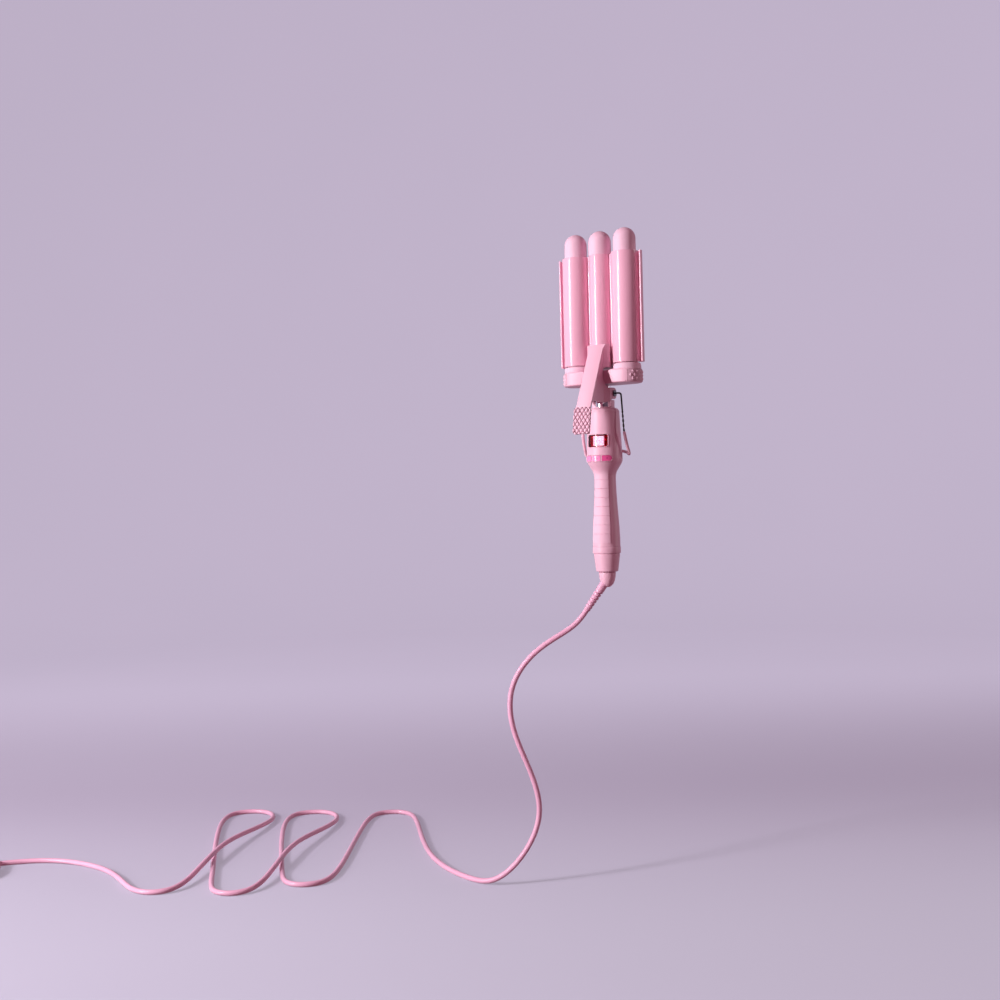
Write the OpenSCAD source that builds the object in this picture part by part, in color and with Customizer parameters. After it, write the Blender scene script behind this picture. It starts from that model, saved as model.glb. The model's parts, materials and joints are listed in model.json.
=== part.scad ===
// Triple-barrel hair waver, held upright by its handle, with its cord down to the floor.
// +Z runs up from the handle to the barrel tips, the front (lever and display) faces -Y,
// and the origin is in the middle of the hand's grip, on the handle's axis.

/* [Barrels and plates] */
// Outer radius of each barrel
barrel_r = 12.3; // [11:0.1:13]
// Wall of each barrel
barrel_wall = 1.5; // [1:0.1:2.5]
// Distance between neighbouring barrels
barrel_pitch = 30; // [29.6:0.1:34]
// Length of the heated plates
plate_length = 120; // [90:1:150]
// Thickness of the curved plates
plate_wall = 1.6; // [1.2:0.1:2]
// Air between a closed plate and the barrel inside it
plate_gap = 1.4; // [0.8:0.1:1.8]
// Thickness of the webs that join plates to barrels
web_wall = 1.6; // [1:0.1:2]
// Air between the front and the rear webs
web_gap = 2.4; // [1.5:0.1:3]
// Width of the channel inside a rolled lip
lip_channel = 3.2; // [2:0.1:5]
// Height of a rolled lip in front of the barrels' centre plane
lip_rise = 3; // [1:0.1:5]
// Depth of a lip's bend behind the barrels' centre plane
lip_drop = 1.5; // [0.5:0.1:3]

/* [Tips and heaters] */
// Straight part of a tip cap under its dome
tip_straight = 14.7; // [6:0.1:25]
// Length of a tip cap's plug inside its barrel
tip_plug = 8; // [5:0.5:12]
// Distance from the foot of the plates to the heating elements
heater_foot = 22; // [16:1:30]
// Distance from the heating elements to the top of the plates
heater_head = 18; // [14:1:25]
// Width of a ceramic heating element
heater_w = 15; // [10:0.5:17]
// Thickness of a ceramic heating element
heater_t = 3; // [2:0.1:5]

/* [Base block] */
// Radius of the block's round ends
block_r = 16.3; // [15.6:0.1:19]
// Height of the block
block_h = 15; // [12:0.5:20]
// Depth of the barrel sockets in the block
socket_depth = 11; // [8:0.5:11]
// Height of the insulating collars on the block
collar_rise = 7; // [5:0.5:10]
// Half width of the lever's notch at the top of the block
notch_top = 14.2; // [12:0.1:15]
// Half width of the lever's notch at the bottom of the block
notch_bottom = 19.3; // [16:0.1:22]
// Distance from the centre plane to the floor of the notch
notch_floor = 10.6; // [10.2:0.1:12]
// Thickness of the grip pads round the block's ends
end_pad_t = 0.9; // [0.6:0.1:1.5]
// Half of the angle that a grip pad wraps round its end
end_pad_turn = 63; // [45:1:75]

/* [Knurling] */
// Width of a knurling diamond
knurl_w = 4.9; // [3:0.1:7]
// Height of a knurling diamond
knurl_h = 7.2; // [5:0.1:9]
// How far a diamond stands up
knurl_rise = 1.1; // [0.4:0.1:1.2]

/* [Lever] */
// Width of the lever
lever_w = 17.2; // [16:0.1:20]
// Thickness of the lever's side walls
lever_wall = 1.6; // [1:0.1:2]
// Thickness of the lever's front strip
strip_t = 2; // [1.5:0.1:3]
// How far up the middle barrel the lever reaches
lever_overlap = 21; // [12:0.5:30]
// Distance from the centre plane to the top of the thumb pad
pad_reach = 47; // [42:0.5:52]
// How much further out the bottom of the thumb pad stands
pad_flare = 5; // [2:0.5:8]
// Width of the thumb pad
pad_w = 20; // [18:0.5:24]
// Length of the thumb pad
pad_length = 29; // [24:0.5:34]
// Thickness of the thumb pad under its knurling
pad_t = 1.2; // [1:0.1:2]
// Radius of the lever's ears round the hinge pin
ear_r = 6.2; // [5:0.1:7]
// Distance from the middle plane to the outer face of an ear
ear_out = 13.4; // [13:0.1:15]

/* [Hinge and neck] */
// Outer radius of the neck tube
neck_r = 8.9; // [8:0.1:9]
// Wall of the neck tube
neck_wall = 1.2; // [0.8:0.1:2]
// Height of the hinge above the handle's top
hinge_rise = 15.7; // [15:0.1:18]
// Height of the base block above the hinge
block_rise = 10; // [9.5:0.1:13]
// Outer radius of the hollow hinge pin
pin_r = 2; // [1.7:0.1:2.5]
// Radius of the hinge pin's bore, for the stand's wire
pin_bore = 1.05; // [0.9:0.05:1.2]
// Thickness of the washers between the ears and the stand
washer_t = 1.3; // [0.8:0.1:2]
// Radius of the washers
washer_r = 3.5; // [3:0.1:4.5]
// Radius of the lever spring's wire
spring_wire = 0.35; // [0.3:0.05:0.4]
// Height of the yoke's arms above the handle
yoke_arm = 8.6; // [5:0.1:9]

/* [Handle] */
// Height of the origin above the handle's lower end
grip_height = 62; // [50:1:75]
// Radius of the end cap's lower end
cap_r = 12.1; // [11:0.1:13]
// Length of the end cap
cap_length = 20; // [15:0.5:25]
// Radius of the end cap's upper end
cap_top_r = 14.6; // [14.2:0.1:15]
// Length of the band above the end cap
band_length = 7.7; // [6:0.1:10]
// Radius of the band
band_r = 15.4; // [15.2:0.1:16.5]
// Radius of the grip just above the band
grip_r = 15.1; // [15:0.1:15.2]
// Length of the grip from the band to the waist
grip_length = 75.3; // [65:0.5:85]
// Radius of the waist
waist_r = 11.8; // [11:0.1:13]
// Length of the flare from the waist to the control collar
flare_length = 20.5; // [16:0.5:28]
// Radius of the control collar
collar_r = 19.75; // [19:0.05:21]
// Length of the control collar
collar_length = 7; // [6:0.5:10]
// Length of the head above the control collar
head_length = 48.8; // [46:0.1:55]
// Radius of the head at its top
head_r = 17; // [16:0.1:18]
// Rounding of the head's top edge
head_round = 4; // [2:0.1:4]
// Wall of the handle shells
shell_wall = 2; // [1.6:0.1:2.4]
// Half of the angle that the grip panel covers
panel_turn = 44; // [30:1:60]
// Number of grooves across the grip panel
groove_count = 7; // [3:1:9]

/* [Controls] */
// Half width of the display window
window_half_w = 11.8; // [10:0.1:13]
// Height of the display window
window_h = 13.2; // [11:0.1:14]
// Height of the window's middle above the control collar's lower edge
window_rise = 19.7; // [19:0.1:24]
// Height of the buttons
button_h = 6; // [5:0.1:6.4]
// Half of the angle of the middle button
button_turn = 13.5; // [11:0.5:14]
// Angle from the front to the middle of a side button
side_turn = 34.5; // [33:0.5:36]
// Distance from a side button's middle to its rounded outer end
side_reach = 5.5; // [5:0.1:6]
// How far a button travels
button_travel = 0.7; // [0.4:0.05:0.8]
// How far a button stands out of the collar
button_proud = 0.4; // [0.2:0.05:0.8]

/* [Stand] */
// Radius of the stand's wire
stand_wire = 1; // [0.8:0.05:1]
// Radius of the stand's plastic bow
bow_r = 1.7; // [1.4:0.1:2]
// Length of the stand from its hinge to its foot
stand_length = 66.5; // [60:0.5:75]
// Length of the bare wire legs
leg_length = 42; // [34:0.5:45]
// Half width of the stand at its shoulders
stand_top = 21.9; // [20:0.1:24]
// Half width of the stand at its feet
stand_foot = 26.7; // [25:0.1:30]

/* [Cord] */
// Radius of the cord
cord_r = 3; // [2.5:0.1:3.2]
// Radius of the swivel's dome
swivel_r = 9.3; // [8.5:0.1:10]
// Length of the swivel's dome
swivel_length = 17; // [14:0.5:20]
// Length of the strain relief outside the dome
relief_length = 36; // [30:1:50]
// Tilt of the strain relief from straight down
relief_tilt = 35; // [0:1:40]
// Height of the handle's lower end above the floor
hang_height = 345; // [345:1:345]
// Radius of the coil at the middle of its turns
coil_r = 33; // [30:0.5:36]
// Radius of the bundle of turns in the coil
coil_bundle = 6; // [6:0.1:8]
// Radius of the plug's pins
plug_pin_r = 2; // [1.5:0.05:2.4]
// Length of the plug's pins
plug_pin_length = 19; // [15:0.5:22]
// Distance between the plug's pins
plug_pin_pitch = 18.6; // [14:0.1:20]

/* [Hidden] */
$fn = 72;

// clearances
fit_gap = 0.05;
part_gap = 0.25;
collar_gap = 0.9;
eps = 0.01;
far = 100;

// heights, from the handle's lower end up
z_end = -grip_height;
z_cap = z_end + cap_length;
z_band = z_cap + band_length;
z_waist = z_band + grip_length;
z_collar = z_waist + flare_length;
z_parting = z_collar + collar_length;
z_head = z_parting + head_length;
z_hinge = z_head + hinge_rise;
z_block = z_hinge + block_rise;
z_block_top = z_block + block_h;
z_plate = z_block_top + collar_rise;
z_plate_top = z_plate + plate_length;
z_tip = z_plate_top + tip_straight;
z_floor = z_end - hang_height;

// plates
bore_r = barrel_r - barrel_wall;
plate_in = barrel_r + plate_gap;
plate_out = plate_in + plate_wall;
lip_in = plate_out + lip_channel;
lip_out = lip_in + plate_wall;
web_start = plate_in + plate_wall / 2;
web_end = barrel_pitch - barrel_r + barrel_wall / 2;

// middle barrel's seat on the lever
seat_z = z_plate - 3;
seat_disc = 1.2;
seat_plug = 12;

// heater leads and the channel for them in the block
lead_r = 0.8;
lead_x = 4.6;
lead_y = pin_r + lead_r + 0.6;
channel_half = lead_y + lead_r + 0.3;
channel_floor = 1.2;
lead_rise = channel_floor + lead_r + 0.6;

// lever
lever_half = lever_w / 2;
lever_top = z_plate + lever_overlap;
lever_nose = barrel_r + 0.6;
web_bottom = z_hinge - 10;
pad_top = z_hinge - 17;
pad_bottom = pad_top - pad_length;
ear_in = ear_out - lever_wall;
joggle_front = 15.5;
joggle_rear = 9.5;

// head interior
cavity_top = z_head - shell_wall;
neck_foot = z_head - 27;
neck_top = z_block + 7;
clamp_t = 3;
yoke_r = 12.4;
yoke_foot = 3.5;
yoke_lip = 1;
arm_half = 4.5;

// handle bottom
spigot_r = 13.6;
spigot_in = 11.9;
swivel_bore = 6;

// controls
z_button = z_collar + 0.5;
z_window = z_collar + window_rise;
frame_rim = 0.55;
frame_half_h = button_h / 2 + part_gap + frame_rim;
divider_turn = 5.4;
side_start = button_turn + divider_turn;
button_seat = collar_r - shell_wall - 0.1;
flange_t = 0.7;
flange_lip = 0.8;
stem_length = 1;
flange_r = button_seat - 0.2;
strip_r = flange_r - flange_t - stem_length - 3.6;
lcd_front = 12.2;
board_y = 3;
board_t = 1.6;

// stand, at the right side: across, forward and height
shoulder_z = z_hinge - 3.2;
sleeve_z = z_hinge - leg_length;
foot_z = z_hinge - stand_length;
bow_rear = 24;

// cord
relief_start = 5;
swivel_gap = 0.3;
z_swivel = z_end - swivel_gap;
relief_turn = 212.5;
relief_r = 4.7;
relief_tip_r = 3.7;
function relief_dir() = [
    cos(relief_turn) * sin(relief_tilt), sin(relief_turn) * sin(relief_tilt), -cos(relief_tilt)
];
relief_root = [0, 0, z_end - 8];
relief_tip = relief_root + (relief_start + relief_length) * relief_dir();

// guide points of the hanging stretch, which the cord follows as a smooth curve
CORD_HANG = [
    [-68, -44, -144], [-95, -60, -184], [-94, -59, -233],
    [-74, -46, -283], [-64, -41, -328], [-82, -52, -372], [-112, -66, z_floor + 3]
];
// guide points on the floor: across, back, and how far they rise where it passes over itself
CORD_FLOOR = [
    [-144, -70, 0], [-232, -33, 0],
    [-340, 96, 0], [-377, 128, 0], [-415, 106, 0], [-405, 63, 0],
    [-294, -116, 0], [-281, -162, 0], [-319, -185, 0], [-353, -150, 0],
    [-505, 9, 0], [-513, 55, 0], [-471, 79, 0], [-433, 49, 0], [-412, -30, 6], [-396, -91, 9],
    [-349, -172, 6], [-331, -222, 0], [-371, -246, 0], [-406, -207, 0],
    [-584, -30, 0], [-593, 16, 0], [-550, 40, 0], [-513, 10, 0], [-492, -70, 6], [-475, -128, 9],
    [-427, -212, 6], [-409, -261, 0], [-453, -288, 0], [-528, -238, 0], [-640, -241, 0]
];
cord_steps = 2;
cord_rise = z_floor + cord_r;
coil_centre = [-679, -339];
coil_entry = 118;
cord_end = [
    coil_centre[0] + coil_r * cos(coil_entry), coil_centre[1] + coil_r * sin(coil_entry), cord_rise
];
function cord_guides() = concat(
    [relief_tip + 0.15 * relief_dir(), relief_tip + 24 * relief_dir()], CORD_HANG, [for (p = CORD_FLOOR) [p[0], p[1], cord_rise + p[2]]], [cord_end]
);
tail_length = 29;
plug_relief = 12;
plug_body_length = 34;
plug_body_w = 34;
plug_body_h = 14;
plug_root = [
    coil_centre[0] - coil_r, coil_centre[1] - tail_length - plug_relief, z_floor + plug_body_h / 2
];

// ---------- helpers ----------

// a flat outline in (forward, height), drawn out across the object
module across(width) {
    rotate([90, 0, -90]) linear_extrude(height = width, center = true) children();
}

module both_sides() {
    children();
    mirror([1, 0, 0]) children();
}

module at_barrel(side) {
    translate([side * barrel_pitch, 0, 0]) children();
}

module ring(outer, inner, low, high) {
    translate([0, 0, low]) linear_extrude(height = high - low) difference() {
        circle(r = outer);
        circle(r = inner);
    }
}

module disc(radius, low, high) {
    translate([0, 0, low]) cylinder(r = radius, h = high - low);
}

// a wedge of a ring, centred on the front
module front_sector(outer, inner, turn, low, high) {
    rotate([0, 0, -90 - turn]) rotate_extrude(angle = 2 * turn)
        translate([inner, low]) square([outer - inner, high - low]);
}

// the same wedge as a flat outline
module front_arc(outer, inner, turn) {
    intersection() {
        difference() {
            circle(r = outer);
            circle(r = inner);
        }
        polygon([[0, 0], [-far * tan(turn), -far], [far * tan(turn), -far]]);
    }
}

// a bar that points straight out of the handle, at an angle from the front
module radial_bar(radius, start, finish, turn, z) {
    translate([0, 0, z]) rotate([0, 0, turn]) rotate([90, 0, 0])
        translate([0, 0, start]) cylinder(r = radius, h = finish - start);
}

function unit(v) = v / norm(v);
function cross_free(v, axis) = unit(v - (v * axis) * axis);

// a smooth curve drawn towards guide points, from the first to the last
function curve_point(a, b, c, d, t) = (
    pow(1 - t, 3) * a + (3 * pow(t, 3) - 6 * t * t + 4) * b
    + (-3 * pow(t, 3) + 3 * t * t + 3 * t + 1) * c + pow(t, 3) * d
) / 6;
function smooth_curve(guides, steps) = let(
    last = len(guides) - 1,
    p = concat([2 * guides[0] - guides[1]], guides, [2 * guides[last] - guides[last - 1]])
) concat(
    [for (i = [1:last], k = [0:steps - 1]) curve_point(p[i - 1], p[i], p[i + 1], p[i + 2], k / steps)],
    [guides[last]]
);

// directions along a path, and a side direction carried along without twist
function path_dirs(p) = [
    for (i = [0:len(p) - 1]) unit(p[min(i + 1, len(p) - 1)] - p[max(i - 1, 0)])
];
function path_sides(d, i, s) = i >= len(d) ? [] : let(n = cross_free(s, d[i]))
    concat([n], path_sides(d, i + 1, n));

// a round bar swept along a list of points
module swept_bar(points, radius, sides) {
    dirs = path_dirs(points);
    normals = path_sides(dirs, 0, abs(dirs[0][2]) > 0.9 ? [1, 0, 0] : [0, 0, 1]);
    last = len(points) - 1;
    rings = [
        for (i = [0:last]) for (k = [0:sides - 1])
            let(a = 360 * k / sides)
            points[i] + radius * (cos(a) * normals[i] + sin(a) * cross(dirs[i], normals[i]))
    ];
    walls = [
        for (i = [0:last - 1]) for (k = [0:sides - 1])
            let(n = (k + 1) % sides)
            [i * sides + k, (i + 1) * sides + k, (i + 1) * sides + n, i * sides + n]
    ];
    foot = [for (k = [0:sides - 1]) k];
    head = [for (k = [sides - 1:-1:0]) last * sides + k];
    polyhedron(points = rings, faces = concat(walls, [foot, head]));
}

// ---------- plates and barrels ----------

// the rear trough behind the middle barrel, with the webs that carry it
module trough_outline() {
    difference() {
        circle(r = plate_out);
        circle(r = plate_in);
        translate([-far, web_gap / 2 - far]) square([2 * far, far]);
    }
    both_sides() translate([web_start, web_gap / 2]) square([web_end - web_start, web_wall]);
}

module rear_plate() {
    color("hotpink") difference() {
        union() {
            both_sides() at_barrel(1) disc(barrel_r, z_block_top - socket_depth, z_plate_top);
            translate([0, 0, z_plate]) linear_extrude(height = plate_length) trough_outline();
        }
        both_sides() at_barrel(1) disc(bore_r, z_block, z_plate_top + 1);
    }
}

// a wing over the front of an outer barrel, with the rolled lip along its outer edge
module wing_outline() {
    translate([barrel_pitch, 0]) {
        difference() {
            circle(r = plate_out);
            circle(r = plate_in);
            translate([-far, -web_gap / 2]) square([far, far]);
            square([far, far]);
        }
        translate([plate_in, 0]) square([plate_wall, lip_drop]);
        translate([lip_in, -lip_rise]) square([plate_wall, lip_rise + lip_drop]);
        translate([(plate_in + lip_out) / 2, lip_drop]) difference() {
            circle(r = (lip_out - plate_in) / 2);
            circle(r = lip_channel / 2);
            translate([-far, -far]) square([2 * far, far]);
        }
    }
    translate([barrel_pitch - web_end, -web_gap / 2 - web_wall]) square([web_end - web_start, web_wall]);
}

module front_plate() {
    color("hotpink") difference() {
        union() {
            disc(barrel_r, seat_z, z_plate_top);
            translate([0, 0, z_plate]) linear_extrude(height = plate_length) both_sides() wing_outline();
        }
        disc(bore_r, seat_z - 1, z_plate_top + 1);
        translate([0, barrel_r + 1, seat_z + seat_plug / 2]) rotate([90, 0, 0])
            cylinder(r = screw_r + fit_gap, h = barrel_r);
    }
}

// a matte cap: a dome on a short straight, with a plug into the barrel
module tip_cap() {
    color("pink") {
        disc(bore_r - fit_gap, z_plate_top - tip_plug, z_plate_top + eps);
        disc(barrel_r, z_plate_top, z_tip);
        intersection() {
            translate([0, 0, z_tip]) sphere(r = barrel_r);
            disc(barrel_r + 1, z_tip - eps, z_tip + barrel_r + 1);
        }
    }
}

module left_tip_cap() {
    at_barrel(-1) tip_cap();
}

module right_tip_cap() {
    at_barrel(1) tip_cap();
}

module middle_tip_cap() {
    tip_cap();
}

heater_z = z_plate + heater_foot;
heater_length = plate_length - heater_foot - heater_head;
heater_seat = 2;

module heater() {
    color("white") translate([-heater_w / 2, -heater_t / 2, heater_z])
        cube([heater_w, heater_t, heater_length]);
}

// two half-round aluminium bars that press the element and fill the bore
module heat_spreader() {
    color("silver") difference() {
        disc(bore_r - fit_gap, heater_z - heater_seat, heater_z + heater_length);
        translate([-far / 2, -heater_t / 2 - eps, heater_z - 2 * heater_seat])
            cube([far, heater_t + 2 * eps, heater_length + 4 * heater_seat]);
    }
}

module left_heater() {
    at_barrel(-1) heater();
}

module right_heater() {
    at_barrel(1) heater();
}

module middle_heater() {
    heater();
}

module left_heat_spreader() {
    at_barrel(-1) heat_spreader();
}

module right_heat_spreader() {
    at_barrel(1) heat_spreader();
}

module middle_heat_spreader() {
    heat_spreader();
}

// ---------- base block ----------

edge = 1;

module block_side(reach) {
    polygon([
        [0, z_block], [reach - edge, z_block], [reach, z_block + edge],
        [reach, z_block_top - edge], [reach - edge, z_block_top], [0, z_block_top]
    ]);
}

module base_block() {
    color("pink") difference() {
        union() {
            across(2 * barrel_pitch) union() {
                block_side(block_r);
                mirror([1, 0]) block_side(block_r);
            }
            both_sides() at_barrel(1) rotate_extrude() block_side(block_r);
        }
        // recesses for the grip pads
        both_sides() at_barrel(1) rotate([0, 0, -end_pad_turn]) rotate_extrude(angle = 2 * end_pad_turn)
            translate([block_r - end_pad_t, z_block + edge])
            square([far, block_h - 2 * edge]);
        // sockets for the barrels and the neck
        both_sides() at_barrel(1) disc(barrel_r + fit_gap, z_block_top - socket_depth, z_block_top + eps);
        disc(neck_r + fit_gap, z_block - eps, neck_top + fit_gap);
        // channel for the heater leads, under the sockets
        translate([-barrel_pitch - channel_half, -channel_half, z_block + channel_floor])
            cube([2 * (barrel_pitch + channel_half), 2 * channel_half, block_h - socket_depth - channel_floor + eps]);
        // notch for the lever
        translate([0, -notch_floor, 0]) rotate([90, 0, 0]) linear_extrude(height = block_r)
            polygon([
                [-notch_bottom, z_block - eps], [notch_bottom, z_block - eps],
                [notch_top, z_block_top - 2], [notch_top + 3, z_block_top + eps],
                [-notch_top - 3, z_block_top + eps], [-notch_top, z_block_top - 2]
            ]);
        // countersunk screw holes at the back
        both_sides() at_barrel(1) rear_screw_hole(z_block_top - socket_depth / 2, block_r);
    }
}

screw_head_r = 2.7;
screw_r = 1.5;
screw_head_t = 1.6;

module rear_screw_hole(z, depth) {
    translate([0, depth + eps, z]) rotate([90, 0, 0]) {
        cylinder(r1 = screw_head_r + fit_gap, r2 = screw_r + fit_gap, h = screw_head_t);
        cylinder(r = screw_r + fit_gap, h = depth - bore_r);
    }
}

module rear_screw(z, depth, reach) {
    translate([0, depth, z]) rotate([90, 0, 0]) {
        cylinder(r1 = screw_head_r, r2 = screw_r, h = screw_head_t);
        cylinder(r = screw_r, h = reach);
    }
}

module barrel_screws() {
    color("silver") both_sides() at_barrel(1)
        rear_screw(z_block_top - socket_depth / 2, block_r, block_r - barrel_r - fit_gap);
}

module collar() {
    color("pink") rotate_extrude() polygon([
        [barrel_r + fit_gap, z_block_top], [block_r - edge, z_block_top],
        [block_r - edge, z_block_top + collar_rise * 0.35], [plate_out - 0.4, z_plate - collar_gap - 0.7],
        [plate_out - 1.1, z_plate - collar_gap], [barrel_r + fit_gap, z_plate - collar_gap]
    ]);
}

module left_collar() {
    at_barrel(-1) collar();
}

module right_collar() {
    at_barrel(1) collar();
}

// one low pyramid, its foot sunk in what carries it
module diamond(w, h, rise) {
    sink = 0.3;
    polyhedron(
        points = [[-w / 2, 0, -sink], [0, -h / 2, -sink], [w / 2, 0, -sink], [0, h / 2, -sink], [0, 0, rise]],
        faces = [[4, 1, 0], [4, 2, 1], [4, 3, 2], [4, 0, 3], [0, 1, 2, 3]]
    );
}

module end_pad() {
    step = 360 * knurl_w / (2 * PI * block_r);
    half_rows = floor((end_pad_turn - step / 2) / (step / 2));
    color("lightpink") union() {
        rotate([0, 0, -end_pad_turn]) rotate_extrude(angle = 2 * end_pad_turn)
            translate([block_r - end_pad_t + fit_gap, z_block + edge + fit_gap])
            square([end_pad_t - fit_gap, block_h - 2 * edge - 2 * fit_gap]);
        for (i = [-half_rows:half_rows], j = abs(i) % 2 == 0 ? [0] : [-0.5, 0.5])
            translate([0, 0, z_block + block_h / 2 + j * (knurl_h + 0.3)])
            rotate([0, 0, i * step / 2]) translate([block_r, 0, 0])
            rotate([90, 0, 90]) diamond(knurl_w - 0.5, min(knurl_h, block_h / 2 - 1.5), knurl_rise);
    }
}

module left_end_pad() {
    mirror([1, 0, 0]) right_end_pad();
}

module right_end_pad() {
    at_barrel(1) end_pad();
}

// ---------- lever ----------

// the front face of the strip, as (forward, height)
function strip_front(z) = lever_nose + (pad_reach - lever_nose) * (lever_top - z) / (lever_top - pad_top);

module lever_web_outline() {
    polygon([
        [0, z_hinge + ear_r], [11.5, z_hinge + 5.6], [13.9, z_block - 1.2], [15.4, z_block + 4],
        [15.6, z_block_top + 1], [13, seat_z - seat_disc], [7.5, seat_z - seat_disc],
        [7.5, lever_top], [lever_nose, lever_top],
        [strip_front(web_bottom) - 0.5, web_bottom],
        [13, web_bottom], [8, z_hinge - 8.3], [3.4, z_hinge - 5.2], [0, z_hinge - ear_r]
    ]);
    translate([0, z_hinge]) circle(r = ear_r);
}

// the lever seen from above, drawn in by an inset: narrow behind the strip, wide round the neck
module lever_plan(inset) {
    polygon([
        for (side = [-1, 1], i = [0:3]) let(p = [
            [lever_half - inset, -far], [lever_half - inset, -joggle_front + inset / 3],
            [ear_out - inset, -joggle_rear + inset / 3], [ear_out - inset, far]
        ][side < 0 ? i : 3 - i]) [side * -p[0], p[1]]
    ]);
}

module lever_walls() {
    intersection() {
        across(2 * ear_out) lever_web_outline();
        translate([0, 0, pad_bottom]) linear_extrude(height = lever_top - pad_bottom) difference() {
            lever_plan(0);
            lever_plan(lever_wall);
        }
    }
    // the floor that carries the middle barrel
    intersection() {
        across(2 * ear_out) translate([0, seat_z - seat_disc]) square([block_r, seat_disc]);
        translate([0, 0, seat_z - far]) linear_extrude(height = 2 * far) lever_plan(0);
    }
}

module lever() {
    color("pink") difference() {
        union() {
            difference() {
                union() {
                    lever_walls();
                    across(lever_w) polygon([
                        [lever_nose, lever_top], [pad_reach, pad_top], [pad_reach + pad_flare, pad_bottom],
                        [pad_reach + pad_flare - strip_t, pad_bottom], [pad_reach - strip_t, pad_top],
                        [lever_nose - strip_t, lever_top]
                    ]);
                    disc(barrel_r, seat_z - seat_disc, seat_z + 1);
                }
                disc(barrel_r, seat_z, lever_top + 1);
            }
            disc(bore_r - fit_gap, seat_z - eps, seat_z + seat_plug);
        }
        translate([0, 0, z_hinge]) rotate([0, 90, 0])
            cylinder(r = pin_r + fit_gap, h = 3 * ear_out, center = true);
        translate([0, barrel_r, seat_z + seat_plug / 2]) rotate([90, 0, 0])
            cylinder(r = screw_r + fit_gap, h = barrel_r);
    }
}

module middle_barrel_screw() {
    color("silver") translate([0, barrel_r, seat_z + seat_plug / 2]) rotate([90, 0, 0])
        cylinder(r = screw_r, h = 8);
}

pad_lean = atan(pad_flare / pad_length);

module pad_outline(w, h, corner) {
    square([w, h - 2 * corner], center = true);
    square([w - 2 * corner, h], center = true);
    for (x = [-1, 1], y = [-1, 1])
        translate([x * (w / 2 - corner), y * (h / 2 - corner)]) circle(r = corner);
}

module thumb_pad() {
    groove_turn = atan(knurl_h / knurl_w);
    groove_step = knurl_w * sin(groove_turn);
    groove_w = sqrt(2) * (knurl_rise + 0.25);
    color("lightpink")
        translate([0, -(pad_reach + pad_flare / 2), (pad_top + pad_bottom) / 2])
        rotate([90 - pad_lean, 0, 0]) translate([0, 0, eps]) difference() {
            linear_extrude(height = pad_t + knurl_rise) pad_outline(pad_w, pad_length, 3);
            for (turn = [-groove_turn, groove_turn], i = [-5:5])
                rotate([0, 0, turn]) translate([0, i * groove_step, pad_t + knurl_rise + 0.3])
                rotate([45, 0, 0]) cube([2 * pad_length, groove_w, groove_w], center = true);
        }
}

// ---------- neck and hinge ----------

module neck_tube() {
    color("silver") difference() {
        ring(neck_r, neck_r - neck_wall, neck_foot, neck_top);
        translate([-far / 2, -channel_half, z_block + channel_floor]) cube([far, 2 * channel_half, far]);
        translate([0, 0, z_hinge]) rotate([0, 90, 0])
            cylinder(r = pin_r, h = 4 * neck_r, center = true);
    }
}

// a ring on the head with two arms that hold the spring's legs
module neck_yoke() {
    color("pink") difference() {
        union() {
            disc(yoke_r, z_head - yoke_foot, z_head + yoke_lip);
            translate([-ear_in + part_gap, -arm_half, z_head])
                cube([2 * (ear_in - part_gap), 2 * arm_half, yoke_arm]);
        }
        disc(neck_r + fit_gap, z_head - yoke_foot - eps, z_hinge + far);
    }
}

module hinge_pin() {
    color("dimgray") translate([0, 0, z_hinge]) rotate([0, 90, 0]) difference() {
        cylinder(r = pin_r, h = 2 * (ear_out + washer_t), center = true);
        cylinder(r = pin_bore, h = 4 * ear_out, center = true);
    }
}

module hinge_washers() {
    color("black") both_sides() translate([ear_out + fit_gap, 0, z_hinge]) rotate([0, 90, 0])
        difference() {
            cylinder(r = washer_r, h = washer_t);
            translate([0, 0, -1]) cylinder(r = pin_r, h = washer_t + 2);
        }
}

spring_r = 2.95;
spring_start = 250;
spring_sweep = 880;
spring_steps = 28;

// a small torsion spring on each side of the neck, between the yoke and the lever
module lever_spring() {
    near = neck_r + spring_wire + 0.15;
    lift = (ear_in - neck_r - 2 * spring_wire - 2 * 0.15) / spring_steps;
    coil = [
        for (i = [0:spring_steps]) let(a = spring_start - spring_sweep * i / spring_steps)
        [near + lift * i, -spring_r * cos(a), z_hinge + spring_r * sin(a)]
    ];
    lower = [near, -3, z_head + yoke_arm + spring_wire];
    upper = [near + lift * spring_steps, -9, z_hinge + spring_r + 0.5];
    color("silver") both_sides() swept_bar(concat([lower], coil, [upper]), spring_wire, 8);
}

lead_foot = 4;

// four leads up the neck and through the block, two to each outer barrel
module heater_leads() {
    color("white") for (side = [-1, 1], y = [-lead_y, lead_y]) {
        out = barrel_pitch - y;
        z_turn = z_block + lead_rise;
        translate([side * lead_x, y, neck_foot + lead_foot])
            cylinder(r = lead_r, h = z_turn - neck_foot - lead_foot);
        translate([side * lead_x, y, z_turn]) sphere(r = lead_r);
        translate([side * lead_x, y, z_turn]) rotate([0, side * 90, 0]) cylinder(r = lead_r, h = out - lead_x);
        translate([side * out, y, z_turn]) sphere(r = lead_r);
        translate([side * out, y, z_turn]) cylinder(r = lead_r, h = heater_z - heater_seat - z_turn);
    }
}

// ---------- handle ----------

function ease(t) = (1 - cos(180 * t)) / 2;
function mix(a, b, t) = a + (b - a) * t;

// the handle's outer radius at a height
function handle_r(z) =
    z < z_waist ? mix(grip_r, waist_r, ease((z - z_band) / grip_length))
    : z < z_collar ? mix(waist_r, collar_r, pow(ease((z - z_waist) / flare_length), 1.25))
    : z < z_parting ? collar_r
    : mix(collar_r - 0.3, head_r, (z - z_parting) / head_length);

function heights(low, high, steps) = [for (i = [0:steps]) mix(low, high, i / steps)];

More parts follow.
